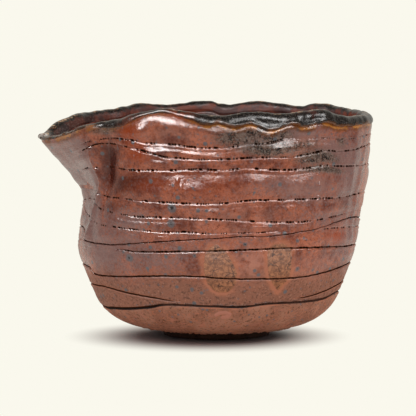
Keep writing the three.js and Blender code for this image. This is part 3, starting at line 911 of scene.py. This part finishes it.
class Value:
    """A number that varies over a surface. Arithmetic on it adds Math nodes."""

    def __init__(self, finish, socket):
        self.finish = finish
        self.socket = socket

    def math(self, operation, *values):
        return self.finish.node("ShaderNodeMath", {"operation": operation}, dict(enumerate(values)))

    def __add__(self, other):
        return self.math("ADD", self, other)

    def __sub__(self, other):
        return self.math("SUBTRACT", self, other)

    def __mul__(self, other):
        return self.math("MULTIPLY", self, other)

    def __radd__(self, other):
        return self.math("ADD", other, self)

    def __rsub__(self, other):
        return self.math("SUBTRACT", other, self)

    def __rmul__(self, other):
        return self.math("MULTIPLY", other, self)

    def step(self, low, high):
        """0 below low, 1 above high, smooth between."""
        settings = {"interpolation_type": "SMOOTHSTEP", "clamp": True}
        sides = {"From Min": low, "From Max": high} if low < high else {"From Min": high, "From Max": low}
        ends = {"To Min": 0, "To Max": 1} if low < high else {"To Min": 1, "To Max": 0}
        return self.finish.node("ShaderNodeMapRange", settings, {"Value": self, **sides, **ends})


class Nodes:
    """A tree of shader nodes."""

    def __init__(self, tree):
        self.tree = tree

    def node(self, kind, settings=None, inputs=None, output=0):
        made = self.tree.nodes.new(kind)
        for name, value in (settings or {}).items():
            setattr(made, name, value)
        for name, value in (inputs or {}).items():
            self.feed(made.inputs[name], value)
        return Value(self, made.outputs[output])

    def feed(self, socket, value):
        if isinstance(value, Value):
            self.tree.links.new(value.socket, socket)
        else:
            socket.default_value = value


class Finish(Nodes):
    """A material and the nodes that make it."""

    def __init__(self, name):
        self.material = bpy.data.materials.new(name)
        self.material.use_nodes = True
        super().__init__(self.material.node_tree)
        self.shader = self.tree.nodes["Principled BSDF"]
        self.place = self.node("ShaderNodeTexCoord", output="Object")

    def noise(self, size, detail=NOISE_DETAIL, rough=NOISE_ROUGH, place=None):
        """Smooth noise from 0 to 1 with features of the given size in millimetres."""
        inputs = {"Vector": place or self.place, "Scale": 1 / (size * MM)}
        inputs.update({"Detail": detail, "Roughness": rough})
        return self.node("ShaderNodeTexNoise", {}, inputs)

    def patches(self, size, start, full, detail=NOISE_DETAIL, rough=NOISE_ROUGH):
        """Noise that shows in patches: nothing of it up to the start, and all of it from full on."""
        return self.noise(size, detail, rough).step(start, full)

    def wobble(self, size, swing, detail=NOISE_DETAIL, rough=NOISE_ROUGH):
        """Noise about zero."""
        return (self.noise(size, detail, rough) - NOISE_MEAN) * swing

    def bent(self, size, swing):
        """Places moved about by noise, so that straight edges wander."""
        inputs = {"Vector": self.place, "Scale": 1 / (size * MM), "Detail": NOISE_DETAIL}
        aside = self.node("ShaderNodeTexNoise", {}, inputs, "Color")
        move = {0: aside, 1: (swing * MM,) * 3, 2: self.place}
        return self.node("ShaderNodeVectorMath", {"operation": "MULTIPLY_ADD"}, move)

    def cells(self, size, feature="F1", place=None):
        """Distance to the nearest of scattered points, or to the edge of its cell."""
        inputs = {"Vector": place or self.place, "Scale": 1 / (size * MM)}
        return self.node("ShaderNodeTexVoronoi", {"feature": feature}, inputs, "Distance")

    def dots(self, spacing, edge, core):
        """Scattered dots, soft between their edge and their core, in shares of the spacing."""
        return self.cells(spacing).step(edge, core)

    def field(self, name):
        return self.node("ShaderNodeAttribute", {"attribute_name": name}, output="Fac")

    def axis(self, letter):
        """One coordinate in millimetres."""
        return self.node("ShaderNodeSeparateXYZ", {}, {0: self.place}, letter) * (1 / MM)

    def blend(self, share, first, second):
        first = first if isinstance(first, Value) else (*first, 1)
        second = second if isinstance(second, Value) else (*second, 1)
        return self.node("ShaderNodeMix", {"data_type": "RGBA"}, {0: share, 6: first, 7: second}, 2)

    def bump(self, height, strength, distance):
        inputs = {"Height": height, "Strength": strength, "Distance": distance * MM}
        return self.node("ShaderNodeBump", {}, inputs)

    def finish(self, colour, roughness, normal=None, **constants):
        self.feed(self.shader.inputs["Base Color"], colour)
        self.feed(self.shader.inputs["Roughness"], roughness)
        if normal:
            self.feed(self.shader.inputs["Normal"], normal)
        for name, value in constants.items():
            self.shader.inputs[name.replace("_", " ")].default_value = value
        return self.material

    def shaded(self):
        return Value(self, self.shader.outputs[0])

    def show(self, shader):
        self.feed(self.tree.nodes["Material Output"].inputs["Surface"], shader)

    def dull(self, share, colour, normal):
        """Takes the shine off a share of the surface."""
        inputs = {"Base Color": colour, "Roughness": 1, "Specular IOR Level": 0, "Normal": normal}
        matt = self.node("ShaderNodeBsdfPrincipled", {}, inputs)
        self.show(self.node("ShaderNodeMixShader", {}, {0: share, 1: self.shaded(), 2: matt}))


DEEP_RED = (0.11, 0.015, 0.006)
IRON_RED = (0.17, 0.036, 0.018)
BRIGHT_RED = (0.53, 0.155, 0.079)
EMBER_RED = (0.36, 0.055, 0.01)
AMBER_GLAZE = (0.58, 0.22, 0.04)
BURNT_AMBER = (0.2, 0.06, 0.012)
# Pink of the blush and the slip, also used for painted sheen
PINK_BLUSH_AND_SHEEN = (0.54, 0.22, 0.15)
# Painted sheen: the pale room's reflection over the red glaze
SHEEN_MAUVE = (0.27, 0.15, 0.134)
CLAY_BROWN = (0.32, 0.134, 0.082)
CLAY_TAN = (0.48, 0.225, 0.145)
CLAY_DARK = (0.06, 0.022, 0.012)
MARK_BROWN = (0.23, 0.085, 0.038)
MARK_TAN = (0.5, 0.2, 0.09)
RING_ORANGE = (0.55, 0.19, 0.1)
BLUE_GREY = (0.14, 0.14, 0.15)
# Black of soot and pits, also used for painted shade under the base and the foot
SOOT_AND_SHADE = (0.01, 0.006, 0.005)
CUT_BROWN = (0.014, 0.005, 0.002)
INK = (0.012, 0.007, 0.005)
ASH = (0.34, 0.27, 0.22)
CREST_TAN = (0.6, 0.4, 0.23)
# Painted highlight on the spout's tip
TIP_HIGHLIGHT_WHITE = (0.72, 0.66, 0.6)
# Painted shade in the creases
CREASE_SHADE_RED = (0.07, 0.008, 0.002)
SMOKE = (0.14, 0.085, 0.062)


# In the values that follow, noise is size, detail and roughness. Patches are size, start and full, and
# then detail and roughness. A wobble is size and swing. Dots are spacing, edge and core. An edge is where
# a layer starts and where it is full. Sizes are in millimetres.

# Layers of speckle: patches, share, colour
RED_SPECKLE = [
    ((1.2, 0.5, 0.62, 4, 0.7), 0.5, IRON_RED),
    ((1.2, 0.58, 0.68, 4, 0.7), 0.6, DEEP_RED),
    ((0.5, 0.54, 0.68, 2, 0.6), 0.5, DEEP_RED),
]
DRY_SPECKLE = [
    ((1.1, 0.5, 0.64, 4, 0.65), 0.6, CLAY_DARK),
    ((0.8, 0.56, 0.66, 3, 0.6), 0.7, CLAY_TAN),
]
MARK_SPECKLE = [
    ((1.3, 0.36, 0.62, 4, 0.7), 1, MARK_TAN),
    ((0.8, 0.62, 0.7, 3, 0.6), 0.5, CLAY_DARK),
]
RIM_SPECKLE = [
    ((0.5, 0.52, 0.68, 4, 0.7), 0.3, ASH),
    ((9, 0.56, 0.7, 4), 0.6, DEEP_RED),
]
LINING_SPECKLE = [((11, 0.48, 0.66), 0.8, EMBER_RED)]
CLAY_SPECKLE = [
    ((11, 0.35, 0.68, 4), 1, CLAY_TAN),
    ((1, 0.53, 0.64, 4, 0.65), 0.65, CLAY_DARK),
    ((0.8, 0.54, 0.64, 3, 0.6), 0.8, RING_ORANGE),
]
CLAY_FLUSH = [
    ((6, 0.56, 0.72), 0.5, RING_ORANGE),
    ((3, 0.5, 0.66), 0.35, PINK_BLUSH_AND_SHEEN),
]
BUMP = (0.6, 0.35)  # strength, and height in millimetres


def speckle(f, colour, layers, where=None):
    """Layers of patchy noise over a colour, everywhere or in one area."""
    for patches, share, tint in layers:
        mask = f.patches(*patches) * share
        colour = f.blend(mask * where if where else mask, colour, tint)
    return colour


# The red glaze

RED_CLOUD = (11, 5, 0.65)
RED_MOTTLE = (3.5, 5, 0.65)
RED_CLOUD_SHARE = 0.6
RED_EDGE = (0.38, 0.58)
RED_DOTS = (1.5, 0.2, 0.08)
RED_DOT_PATCHES = (5, 0.4, 0.6, 2)
RED_DOT_SHARE = 0.7
SHEEN_MEAN = 0.2
SHEEN_SHARE = 0.9
SHEEN_DRIFT = (6, 0.8)
SHEEN_FRAY = (0.9, 1.8, 3, 0.65)
SHEEN_EDGE = (0.1, 0.9)
EMBER_PATCHES = (4, 0.25, 0.5)
CREASE_SHADE_SHARE = 0.8
CREASE_SHADE_MOTTLE = 0.4
BLUSH_AND_SHEEN_PATCHES = (3, 0.3, 0.6)


def red_body(f):
    """The red glaze's clouds and mottling, with painted sheen and painted shade in its creases, without
    spots or marks.
    """
    mottle = f.noise(*RED_MOTTLE)
    cloud = f.noise(*RED_CLOUD) * RED_CLOUD_SHARE + mottle * (1 - RED_CLOUD_SHARE)
    colour = f.blend(cloud.step(*RED_EDGE), IRON_RED, BRIGHT_RED)
    colour = speckle(f, colour, RED_SPECKLE)
    dots = f.dots(*RED_DOTS) * f.patches(*RED_DOT_PATCHES)
    colour = f.blend(dots * RED_DOT_SHARE, colour, DEEP_RED)
    # Painted sheen: a mauve veil over the red, a little everywhere and more where the table puts it
    painted_sheen = f.field("painted_sheen") * SHEEN_SHARE + SHEEN_MEAN + f.wobble(*SHEEN_DRIFT) + f.wobble(*SHEEN_FRAY)
    colour = f.blend(painted_sheen.step(*SHEEN_EDGE) * SHEEN_SHARE, colour, SHEEN_MAUVE)
    colour = f.blend(f.field("ember") * f.patches(*EMBER_PATCHES), colour, EMBER_RED)
    # Painted shade: deep red in the creases beside the spout
    colour = f.blend(f.field("painted_crease_shade") * (CREASE_SHADE_SHARE + mottle * CREASE_SHADE_MOTTLE), colour, CREASE_SHADE_RED)
    # Pink blush, partly painted sheen
    return f.blend(f.field("blush_and_sheen") * f.patches(*BLUSH_AND_SHEEN_PATCHES), colour, PINK_BLUSH_AND_SHEEN)


SMOKE_EDGE = (0, 0.8)
SMOKE_SHARE = 0.6
SMOKE_PATCHES = (2.8, 0.4, 0.58, 4, 0.6)
ASH_EDGE = (0.1, 0.6)
ASH_SHARE = 0.28
ASH_DUST = (0.5, 0.52, 0.62, 3, 0.6)
ASH_DUST_SHARE = 0.6
PEPPER = (0.55, 3, 0.6)
PEPPER_CROWDING = 0.3
PEPPER_EDGE = (0.56, 0.74)
PEPPER_EVEN = 0.35
SOOT_EDGE = (0.05, 0.5)


def dusky(f, colour):
    """Smoky clouds with pale patches, and black and grey speckle in them."""
    dusk = f.field("dusk")
    colour = f.blend(dusk.step(*SMOKE_EDGE) * SMOKE_SHARE, colour, SMOKE)
    patch = f.patches(*SMOKE_PATCHES)
    colour = f.blend(dusk.step(*ASH_EDGE) * (1 - patch) * ASH_SHARE, colour, ASH)
    pepper = (dusk * PEPPER_CROWDING + f.noise(*PEPPER)).step(*PEPPER_EDGE)
    pepper = pepper * (PEPPER_EVEN + patch * (1 - PEPPER_EVEN))
    colour = f.blend(pepper * dusk.step(*SOOT_EDGE), colour, SOOT_AND_SHADE)
    return f.blend(dusk.step(*ASH_EDGE) * f.patches(*ASH_DUST) * ASH_DUST_SHARE, colour, ASH)


FRECKLES = (2.7, 0.22, 0.1)
FRECKLE_PATCHES = (9, 0.3, 0.5, 2)
FRECKLE_SHARE = 0.6
LARGE_FRECKLES = (6.1, 0.17, 0.1)
LARGE_FRECKLE_SHARE = 0.9
SPOT_FRAY = 0.8
SPOT_EDGE = (1.2, 0.7)
PIT_EDGE = (0.45, 0.15)
SPOT_SHARE = 0.8


def freckled(f, colour, fine):
    """Blue-grey freckles, and the boiled spots with their dark pits."""
    freckles = f.dots(*FRECKLES) * f.patches(*FRECKLE_PATCHES)
    colour = f.blend(freckles * FRECKLE_SHARE, colour, BLUE_GREY)
    colour = f.blend(f.dots(*LARGE_FRECKLES) * LARGE_FRECKLE_SHARE, colour, BLUE_GREY)
    spot = f.field("spot") + (fine - NOISE_MEAN) * SPOT_FRAY
    colour = f.blend(spot.step(*SPOT_EDGE) * SPOT_SHARE, colour, BLUE_GREY)
    return f.blend(spot.step(*PIT_EDGE) * SPOT_SHARE, colour, SOOT_AND_SHADE)


AMBER_PATCHES = (5, 0.3, 0.5)
AMBER_BREAKS = (4, 0.38, 0.58, 4)
AMBER_EDGE = (0.9, 0.4)
BURNT_EDGE = (2.2, 0.9)
BURNT_SHARE = 0.8


def amber_line(f, colour, reach):
    """The line where the rim coat thins out over the red: burnt, with a bright core."""
    strength = f.field("amber") * f.patches(*AMBER_PATCHES)
    colour = f.blend(reach.step(*BURNT_EDGE) * strength * BURNT_SHARE, colour, BURNT_AMBER)
    return f.blend(reach.step(*AMBER_EDGE) * strength * f.patches(*AMBER_BREAKS), colour, AMBER_GLAZE)


MARK_RING_DRIFT = (5, 2)
MARK_RING_EDGE = (2.4, 0.8)
MARK_RING_PATCHES = (7, 0.25, 0.5, 2)
MARK_RING_SHARE = 0.75
CRACKS = 4
CRACK_BEND = (2, 3)
CRACK_EDGE = (0.05, 0.01)
CRACK_PATCHES = (3, 0.4, 0.55, 2)
CRACK_SHARE = 0.9


def finger_marks(f, colour, bare):
    """The bare ovals with their thin orange rings."""
    ring = (f.field("mark") + f.wobble(*MARK_RING_DRIFT)).step(*MARK_RING_EDGE)
    colour = f.blend(ring * f.patches(*MARK_RING_PATCHES) * MARK_RING_SHARE, colour, RING_ORANGE)
    clay = speckle(f, MARK_BROWN, MARK_SPECKLE)
    cracks = f.cells(CRACKS, "DISTANCE_TO_EDGE", f.bent(*CRACK_BEND)).step(*CRACK_EDGE)
    clay = f.blend(cracks * f.patches(*CRACK_PATCHES) * CRACK_SHARE, clay, CLAY_DARK)
    return f.blend(bare, colour, clay)


CUT_FRAY = (0.7, 0.5, 3, 0.6)
CUT_RUST_EDGE = (0.02, 0.1)
CUT_RUST_SHARE = 0.6
CUT_SIDE_EDGE = (0.15, 0.5)
CUT_SIDE_SHARE = 0.9
CUT_FLOOR_EDGE = (0.35, 0.7)
CUT_FLOOR_DRY = 0.4


def cut_colours(f, colour, worn, dry):
    """The cuts: rusty lips low on the wall, dark sides and a darker floor."""
    colour = f.blend(worn.step(*CUT_RUST_EDGE) * dry * CUT_RUST_SHARE, colour, RING_ORANGE)
    colour = f.blend(worn.step(*CUT_SIDE_EDGE) * CUT_SIDE_SHARE, colour, CLAY_DARK)
    return f.blend(worn.step(*CUT_FLOOR_EDGE) * (1 - dry * CUT_FLOOR_DRY), colour, CUT_BROWN)


FINE = (1.1, 4, 0.65)
DRY_EDGE = (33, 22)  # heights
DRY_DRIFT = (24, 12)
DRY_SHARE = 0.85
DRY_MATT = 0.5
BARE_FRAY = 0.8
BARE_EDGE = (0.3, -0.2)
BAND_DRIFT = (2.4, 2.4, 4)
CUT_MATT_EDGE = (0.2, 0.5)
RED_GLOSS = 0.17  # roughness of the wet glaze, and what dry clay, bare clay, cuts and grain add to it
DRY_ROUGH = 0.38
BARE_ROUGH = 0.4
CUT_ROUGH = 0.1
FINE_ROUGH = 0.16
FINE_EDGE = (0.42, 0.62)
FINE_RELIEF = 0.5
RED_RELIEF = 4
BARE_GRIT = (0.9, 4, 0.75)
BARE_RELIEF = 1.8
RED_SHINE = 0.3


def iron_red_glaze():
    f = Finish("iron_red_glaze")
    fine = f.noise(*FINE)
    dry = (f.axis("Z") + f.wobble(*DRY_DRIFT)).step(*DRY_EDGE)
    bare = (f.field("mark") + (fine - NOISE_MEAN) * BARE_FRAY).step(*BARE_EDGE)
    groove = f.field("groove")
    worn = groove + f.wobble(*CUT_FRAY) * groove
    colour = f.blend(dry * DRY_SHARE, red_body(f), CLAY_BROWN)
    colour = speckle(f, colour, DRY_SPECKLE, dry)
    colour = freckled(f, dusky(f, colour), fine)
    colour = amber_line(f, colour, f.field("below_band") + f.wobble(*BAND_DRIFT))
    colour = cut_colours(f, finger_marks(f, colour, bare), worn, dry)
    rough = RED_GLOSS + DRY_ROUGH * dry + bare * BARE_ROUGH + groove * CUT_ROUGH
    rough = rough + fine.step(*FINE_EDGE) * FINE_ROUGH
    relief = fine * (FINE_RELIEF + (1 - FINE_RELIEF) * dry) + f.noise(RED_RELIEF)
    normal = f.bump(relief + bare * f.noise(*BARE_GRIT) * BARE_RELIEF, *BUMP)
    matt = worn.step(*CUT_MATT_EDGE)
    f.dull(matt.math("MAXIMUM", matt, dry * DRY_MATT), colour, normal)
    return f.finish(colour, rough, normal, Specular_IOR_Level=RED_SHINE)


# The black rim glaze

RIM_FINE = (0.5, 4, 0.7)
RIM_EMBER_PATCHES = (3, 0.35, 0.6)
WITHIN_DRIFT = (3, 2)
WITHIN_EDGE = (0.9, 2.2)  # from the lip's crest inwards
WITHIN_SHARE = 0.9
WITHIN_PATCHES = (6, 0.45, 0.62)
WITHIN_PATCH_SHARE = 0.7
WITHIN_MATT = 0.6
MOUTH_SHARE = 0.8
MOUTH_DUST = (0.9, 0.5, 0.62)
MOUTH_DUST_SHARE = 0.25
CREST_EDGE = (1, 0.2)
CREST_PATCHES = (1.7, 0.46, 0.6)
CREST_WEAR = (13, 0.42, 0.62)
CREST_MOUTH = 0.8
CREST_AMBER = 0.5
CREST_SHARE = 0.9
CREST_FLECKS = (1.1, 0.46, 0.56, 2)
TIP_HIGHLIGHT_PATCHES = (1, 0.4, 0.55)
RIM_EDGE_START = 0.5
RIM_EDGE_DRIFT = (2.2, 2, 4)
RIM_GLOSS = 0.26  # roughness, and what grain and the inside add to it
RIM_FINE_ROUGH = 0.14
RIM_FINE_EDGE = (0.45, 0.7)
WITHIN_ROUGH = 0.37
RIM_RELIEF = 2.4
RIM_FINE_RELIEF = 0.15
RIM_SHINE = 0.32


def worn_crest(f, colour, top):
    """Burnt and tan flecks where the glaze wore thin along the lip's crest."""
    worn = f.patches(*CREST_WEAR) + f.field("mouth") * CREST_MOUTH + f.field("amber") * CREST_AMBER
    crest = top.math("ABSOLUTE", top).step(*CREST_EDGE) * f.patches(*CREST_PATCHES) * worn
    colour = f.blend(crest * CREST_SHARE, colour, BURNT_AMBER)
    return f.blend(crest * f.patches(*CREST_FLECKS), colour, CREST_TAN)


def black_rim_glaze():
    f = Finish("black_rim_glaze")
    fine = f.noise(*RIM_FINE)
    top = f.field("from_top")
    within = (top + f.wobble(*WITHIN_DRIFT)).step(*WITHIN_EDGE)
    mouth = within * f.field("mouth")
    colour = speckle(f, INK, RIM_SPECKLE)
    colour = f.blend(f.field("ember") * f.patches(*RIM_EMBER_PATCHES), colour, EMBER_RED)
    red = f.blend(f.patches(*WITHIN_PATCHES) * WITHIN_PATCH_SHARE, DEEP_RED, EMBER_RED)
    colour = f.blend(within * WITHIN_SHARE, colour, red)
    colour = f.blend(mouth * MOUTH_SHARE, colour, SOOT_AND_SHADE)
    colour = f.blend(mouth * f.patches(*MOUTH_DUST) * MOUTH_DUST_SHARE, colour, ASH)
    colour = worn_crest(f, colour, top)
    # Painted highlight: pale grey-white on the bead at the spout's tip
    colour = f.blend(f.field("tip") * f.patches(*TIP_HIGHLIGHT_PATCHES) * (1 - within), colour, TIP_HIGHLIGHT_WHITE)
    colour = amber_line(f, colour, f.field("from_edge") + RIM_EDGE_START + f.wobble(*RIM_EDGE_DRIFT))
    rough = RIM_GLOSS + fine.step(*RIM_FINE_EDGE) * RIM_FINE_ROUGH + within * WITHIN_ROUGH
    normal = f.bump(f.noise(RIM_RELIEF) + fine * RIM_FINE_RELIEF, *BUMP)
    f.dull(within * WITHIN_MATT, colour, normal)
    return f.finish(colour, rough, normal, Specular_IOR_Level=RIM_SHINE)


# The lining

RUN_STRETCH = (1, 1, 0.25)
RUN = (7, 4, 0.6)
RUN_EDGE = (0.4, 0.65)
SMOKED_RIM = (76, 90)  # heights
SMOKED_RUN = 14
SMOKED_SHARE = 0.7
LINING_DOTS = (4.5, 0.16, 0.08)
LINING_DOT_SHARE = 0.6
LINING_GLOSS = 0.24
LINING_ROUGH = 0.12
LINING_ROUGH_PATCHES = (5, 0.4, 0.7)
LINING_RELIEF = 1.2
LINING_BUMP = (0.2, 0.25)
LINING_SHINE = 0.3


def lining_glaze():
    f = Finish("lining_glaze")
    streaks = f.node("ShaderNodeMapping", {}, {"Vector": f.place, "Scale": RUN_STRETCH})
    run = f.noise(*RUN, streaks)
    colour = f.blend(run.step(*RUN_EDGE), DEEP_RED, IRON_RED)
    colour = speckle(f, colour, LINING_SPECKLE)
    smoked = (f.axis("Z") + (run - NOISE_MEAN) * SMOKED_RUN).step(*SMOKED_RIM)
    colour = f.blend(smoked * SMOKED_SHARE, colour, SOOT_AND_SHADE)
    colour = f.blend(f.dots(*LINING_DOTS) * LINING_DOT_SHARE, colour, BLUE_GREY)
    rough = LINING_GLOSS + f.patches(*LINING_ROUGH_PATCHES) * LINING_ROUGH
    normal = f.bump(f.noise(LINING_RELIEF), *LINING_BUMP)
    return f.finish(colour, rough, normal, Specular_IOR_Level=LINING_SHINE)


# The bare clay of the base, and the raw clay at the bottom of the cuts

CLAY_FINE = (1, 4, 0.65)
CLAY_DOTS = (3.2, 0.24, 0.1)
CLAY_DOT_PATCHES = (8, 0.36, 0.5, 1)
CLAY_DOT_SHARE = 0.85
SMEAR_EDGE = (0.05, 0.45)
JOINT_EVEN = 0.7
JOINT_FRAY = 0.6
JOINT_FRAY_SIZE = 1.3
JOINT_RUST_EDGE = (0.01, 0.08)
JOINT_RUST_PATCHES = (5, 0.4, 0.6, 2)
JOINT_RUST_SHARE = 0.9
JOINT_EDGE = (0.2, 0.6)
SHADE_SHARE = 0.9
FOOT_SHADE = (3.4, 2.8)  # heights; shade is painted on the foot below them
CLAY_ROUGH = 0.6
CLAY_FINE_ROUGH = 0.3
CLAY_GRIT = (0.7, 4, 0.7)
CLAY_RELIEF = 2.5
CLAY_RELIEF_SHARE = 0.7
CLAY_SHINE = 0.08


def bare_clay():
    f = Finish("bare_clay")
    colour = speckle(f, CLAY_BROWN, CLAY_SPECKLE)
    dots = f.dots(*CLAY_DOTS) * f.patches(*CLAY_DOT_PATCHES)
    colour = f.blend(dots * CLAY_DOT_SHARE, colour, BLUE_GREY)
    colour = speckle(f, colour, CLAY_FLUSH)
    colour = f.blend(f.field("smear").step(*SMEAR_EDGE), colour, PINK_BLUSH_AND_SHEEN)
    groove = f.field("groove") * (JOINT_EVEN + f.noise(JOINT_FRAY_SIZE) * JOINT_FRAY)
    rust = groove.step(*JOINT_RUST_EDGE) * f.patches(*JOINT_RUST_PATCHES)
    colour = f.blend(rust * JOINT_RUST_SHARE, colour, RING_ORANGE)
    colour = f.blend(groove.step(*JOINT_EDGE), colour, CUT_BROWN)
    # Painted shade: the underside and the foot darkened nearly to black
    colour = f.blend(f.field("under") * SHADE_SHARE, colour, SOOT_AND_SHADE)
    colour = f.blend(f.axis("Z").step(*FOOT_SHADE) * SHADE_SHARE, colour, SOOT_AND_SHADE)
    rough = CLAY_ROUGH + f.noise(*CLAY_FINE) * CLAY_FINE_ROUGH
    relief = f.noise(*CLAY_GRIT) + f.noise(CLAY_RELIEF) * CLAY_RELIEF_SHARE
    return f.finish(colour, rough, f.bump(relief, *BUMP), Specular_IOR_Level=CLAY_SHINE)


RAW_GRIT = (0.9, 4, 0.7)
RAW_EDGE = (0.3, 0.55)
RAW_ROUGH = 0.8
RAW_BUMP = (0.5, 0.3)
RAW_SHINE = 0.1


def raw_clay():
    f = Finish("raw_clay")
    grit = f.noise(*RAW_GRIT)
    colour = f.blend(grit.step(*RAW_EDGE), CUT_BROWN, CLAY_DARK)
    rough = RAW_ROUGH + grit * (1 - RAW_ROUGH)
    return f.finish(colour, rough, f.bump(grit, *RAW_BUMP), Specular_IOR_Level=RAW_SHINE)


# Assembly

def dress(piece, material, node):
    piece.data.materials.append(material)
    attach(piece, "root")
    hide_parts(node)


clay = bare_clay()
dress(outer_coat(), iron_red_glaze(), "outer_glaze")
dress(rim_coat(), black_rim_glaze(), "rim_glaze")
dress(lining(), lining_glaze(), "inner_glaze")
dress(base_dish(), clay, "base_dish")
dress(foot_ring(), clay, "foot_ring")
raw = raw_clay()
for node in ("bowl_wall", "spout"):
    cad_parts[node].data.materials.clear()
    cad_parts[node].data.materials.append(raw)

# Studio: places and distances in metres

PAPER = (0.956, 0.939, 0.847)
FLOOR_WHITE = (0.93, 0.915, 0.88)
FLOOR_PAINTED_SHADOW = (0.34, 0.262, 0.262)  # painted shadow: the floor near the bowl, as the camera sees it
FLOOR_RADIUS = 0.22
FLOOR_SEGMENTS = 96
FLOOR_ROUGH = 0.9
FLOOR_SHINE = 0.1
SHADOW_CENTRE = (0.0004, -0.006, 0)
SHADOW_FADE = (0.025, 0.058)  # distances from there at which the floor turns to plain paper
ROOM_WHITE = (1, 0.99, 0.97)
ROOM_LIGHT = 0.36  # all round, and more from behind, the right and above
BACK_LIGHT = 0.4
BACK_EDGE = (-0.3, 0.6)
RIGHT_LIGHT = 0.25
RIGHT_EDGE = (-0.6, 0.9)
TOP_LIGHT = 0.45
TOP_EDGE = (0, 0.9)
MIRRORED = 0.05  # strength of the paper in reflections, and more behind
MIRRORED_BACK = 0.6
MIRRORED_EDGE = (0.1, 0.95)
# Softboxes that make the highlights: place, width and height in metres, power
SOFTBOXES = {
    "left_box": ((-0.66, -0.8, 0.55), (1, 0.5), 66),
    "right_box": ((0.8, -0.65, 0.5), (0.8, 0.5), 24),
    "front_strip": ((0, -0.85, 0.66), (1, 0.25), 10),
}
SOFTBOX_TARGET = (0, 0, 0.05)
CAMERA_ASIDE = -0.0034
CAMERA_BACK = 1.1
CAMERA_HEIGHT = 0.128
CAMERA_TARGET = 0.04985
CAMERA_NEAR = 0.01
FRAME_HALF_WIDTH = 81.7  # of the picture at this distance from the camera, both in millimetres
FRAME_DISTANCE = 1102.8


def shown_ray(nodes):
    """1 for rays that show the background itself: to the camera, and in reflections."""
    camera = nodes.node("ShaderNodeLightPath", output="Is Camera Ray")
    glossy = nodes.node("ShaderNodeLightPath", output="Is Glossy Ray")
    through = nodes.node("ShaderNodeLightPath", output="Is Transmission Ray")
    return camera.math("MINIMUM", camera + glossy + through, 1)


def floor_paper():
    f = Finish("floor_paper")
    camera = f.node("ShaderNodeLightPath", output="Is Camera Ray")
    ends = {0: f.place, 1: SHADOW_CENTRE}
    away = f.node("ShaderNodeVectorMath", {"operation": "DISTANCE"}, ends, "Value")
    far = away.step(*SHADOW_FADE) * shown_ray(f)
    paper = f.node("ShaderNodeEmission", {}, {"Color": (*PAPER, 1), "Strength": 1})
    # Painted shadow: to the camera the floor near the bowl is grey
    f.finish(f.blend(camera, FLOOR_WHITE, FLOOR_PAINTED_SHADOW), FLOOR_ROUGH, Specular_IOR_Level=FLOOR_SHINE)
    f.show(f.node("ShaderNodeMixShader", {}, {0: far, 1: f.shaded(), 2: paper}))
    return f.material


def studio_floor():
    body = bmesh.new()
    bmesh.ops.create_circle(body, cap_ends=True, segments=FLOOR_SEGMENTS, radius=FLOOR_RADIUS)
    mesh = bpy.data.meshes.new("floor")
    body.to_mesh(mesh)
    body.free()
    mesh.materials.append(floor_paper())
    floor = bpy.data.objects.new("floor", mesh)
    bpy.context.scene.collection.objects.link(floor)


def studio_world():
    world = bpy.data.worlds.new("studio")
    bpy.context.scene.world = world
    world.use_nodes = True
    w = Nodes(world.node_tree)
    way = w.node("ShaderNodeTexCoord", output="Generated")
    side, back, up = (w.node("ShaderNodeSeparateXYZ", {}, {0: way}, letter) for letter in "XYZ")
    level = ROOM_LIGHT + back.step(*BACK_EDGE) * BACK_LIGHT
    level = level + side.step(*RIGHT_EDGE) * RIGHT_LIGHT + up.step(*TOP_EDGE) * TOP_LIGHT
    room_light = w.node("ShaderNodeBackground", {}, {"Color": (*ROOM_WHITE, 1), "Strength": level})
    camera = w.node("ShaderNodeLightPath", output="Is Camera Ray")
    seen = camera.math("MAXIMUM", camera, MIRRORED + back.step(*MIRRORED_EDGE) * MIRRORED_BACK)
    paper = w.node("ShaderNodeBackground", {}, {"Color": (*PAPER, 1), "Strength": seen})
    shown = w.node("ShaderNodeMixShader", {}, {0: shown_ray(w), 1: room_light, 2: paper})
    w.feed(w.tree.nodes["World Output"].inputs["Surface"], shown)


def aim(thing, place, target):
    thing.location = place
    thing.rotation_euler = (Vector(target) - Vector(place)).to_track_quat("-Z", "Y").to_euler()


def softbox(name, place, size, power):
    """A lamp that shows in the glaze and leaves the plain light as it is."""
    lamp = bpy.data.lights.new(name, "AREA")
    lamp.shape = "RECTANGLE"
    lamp.size, lamp.size_y = size
    lamp.energy = power
    thing = bpy.data.objects.new(name, lamp)
    aim(thing, place, SOFTBOX_TARGET)
    thing.visible_diffuse = False
    bpy.context.scene.collection.objects.link(thing)


def photo_camera():
    lens = bpy.data.cameras.new("camera")
    lens.angle = 2 * math.atan(FRAME_HALF_WIDTH / FRAME_DISTANCE)
    lens.clip_start = CAMERA_NEAR
    thing = bpy.data.objects.new("camera", lens)
    aside = AXIS.x + CAMERA_ASIDE
    aim(thing, (aside, AXIS.y - CAMERA_BACK, CAMERA_HEIGHT), (aside, AXIS.y, CAMERA_TARGET))
    bpy.context.scene.collection.objects.link(thing)
    bpy.context.scene.camera = thing


studio_floor()
studio_world()
for name, (place, size, power) in SOFTBOXES.items():
    softbox(name, place, size, power)
photo_camera()
bpy.context.scene.view_settings.view_transform = "Standard"
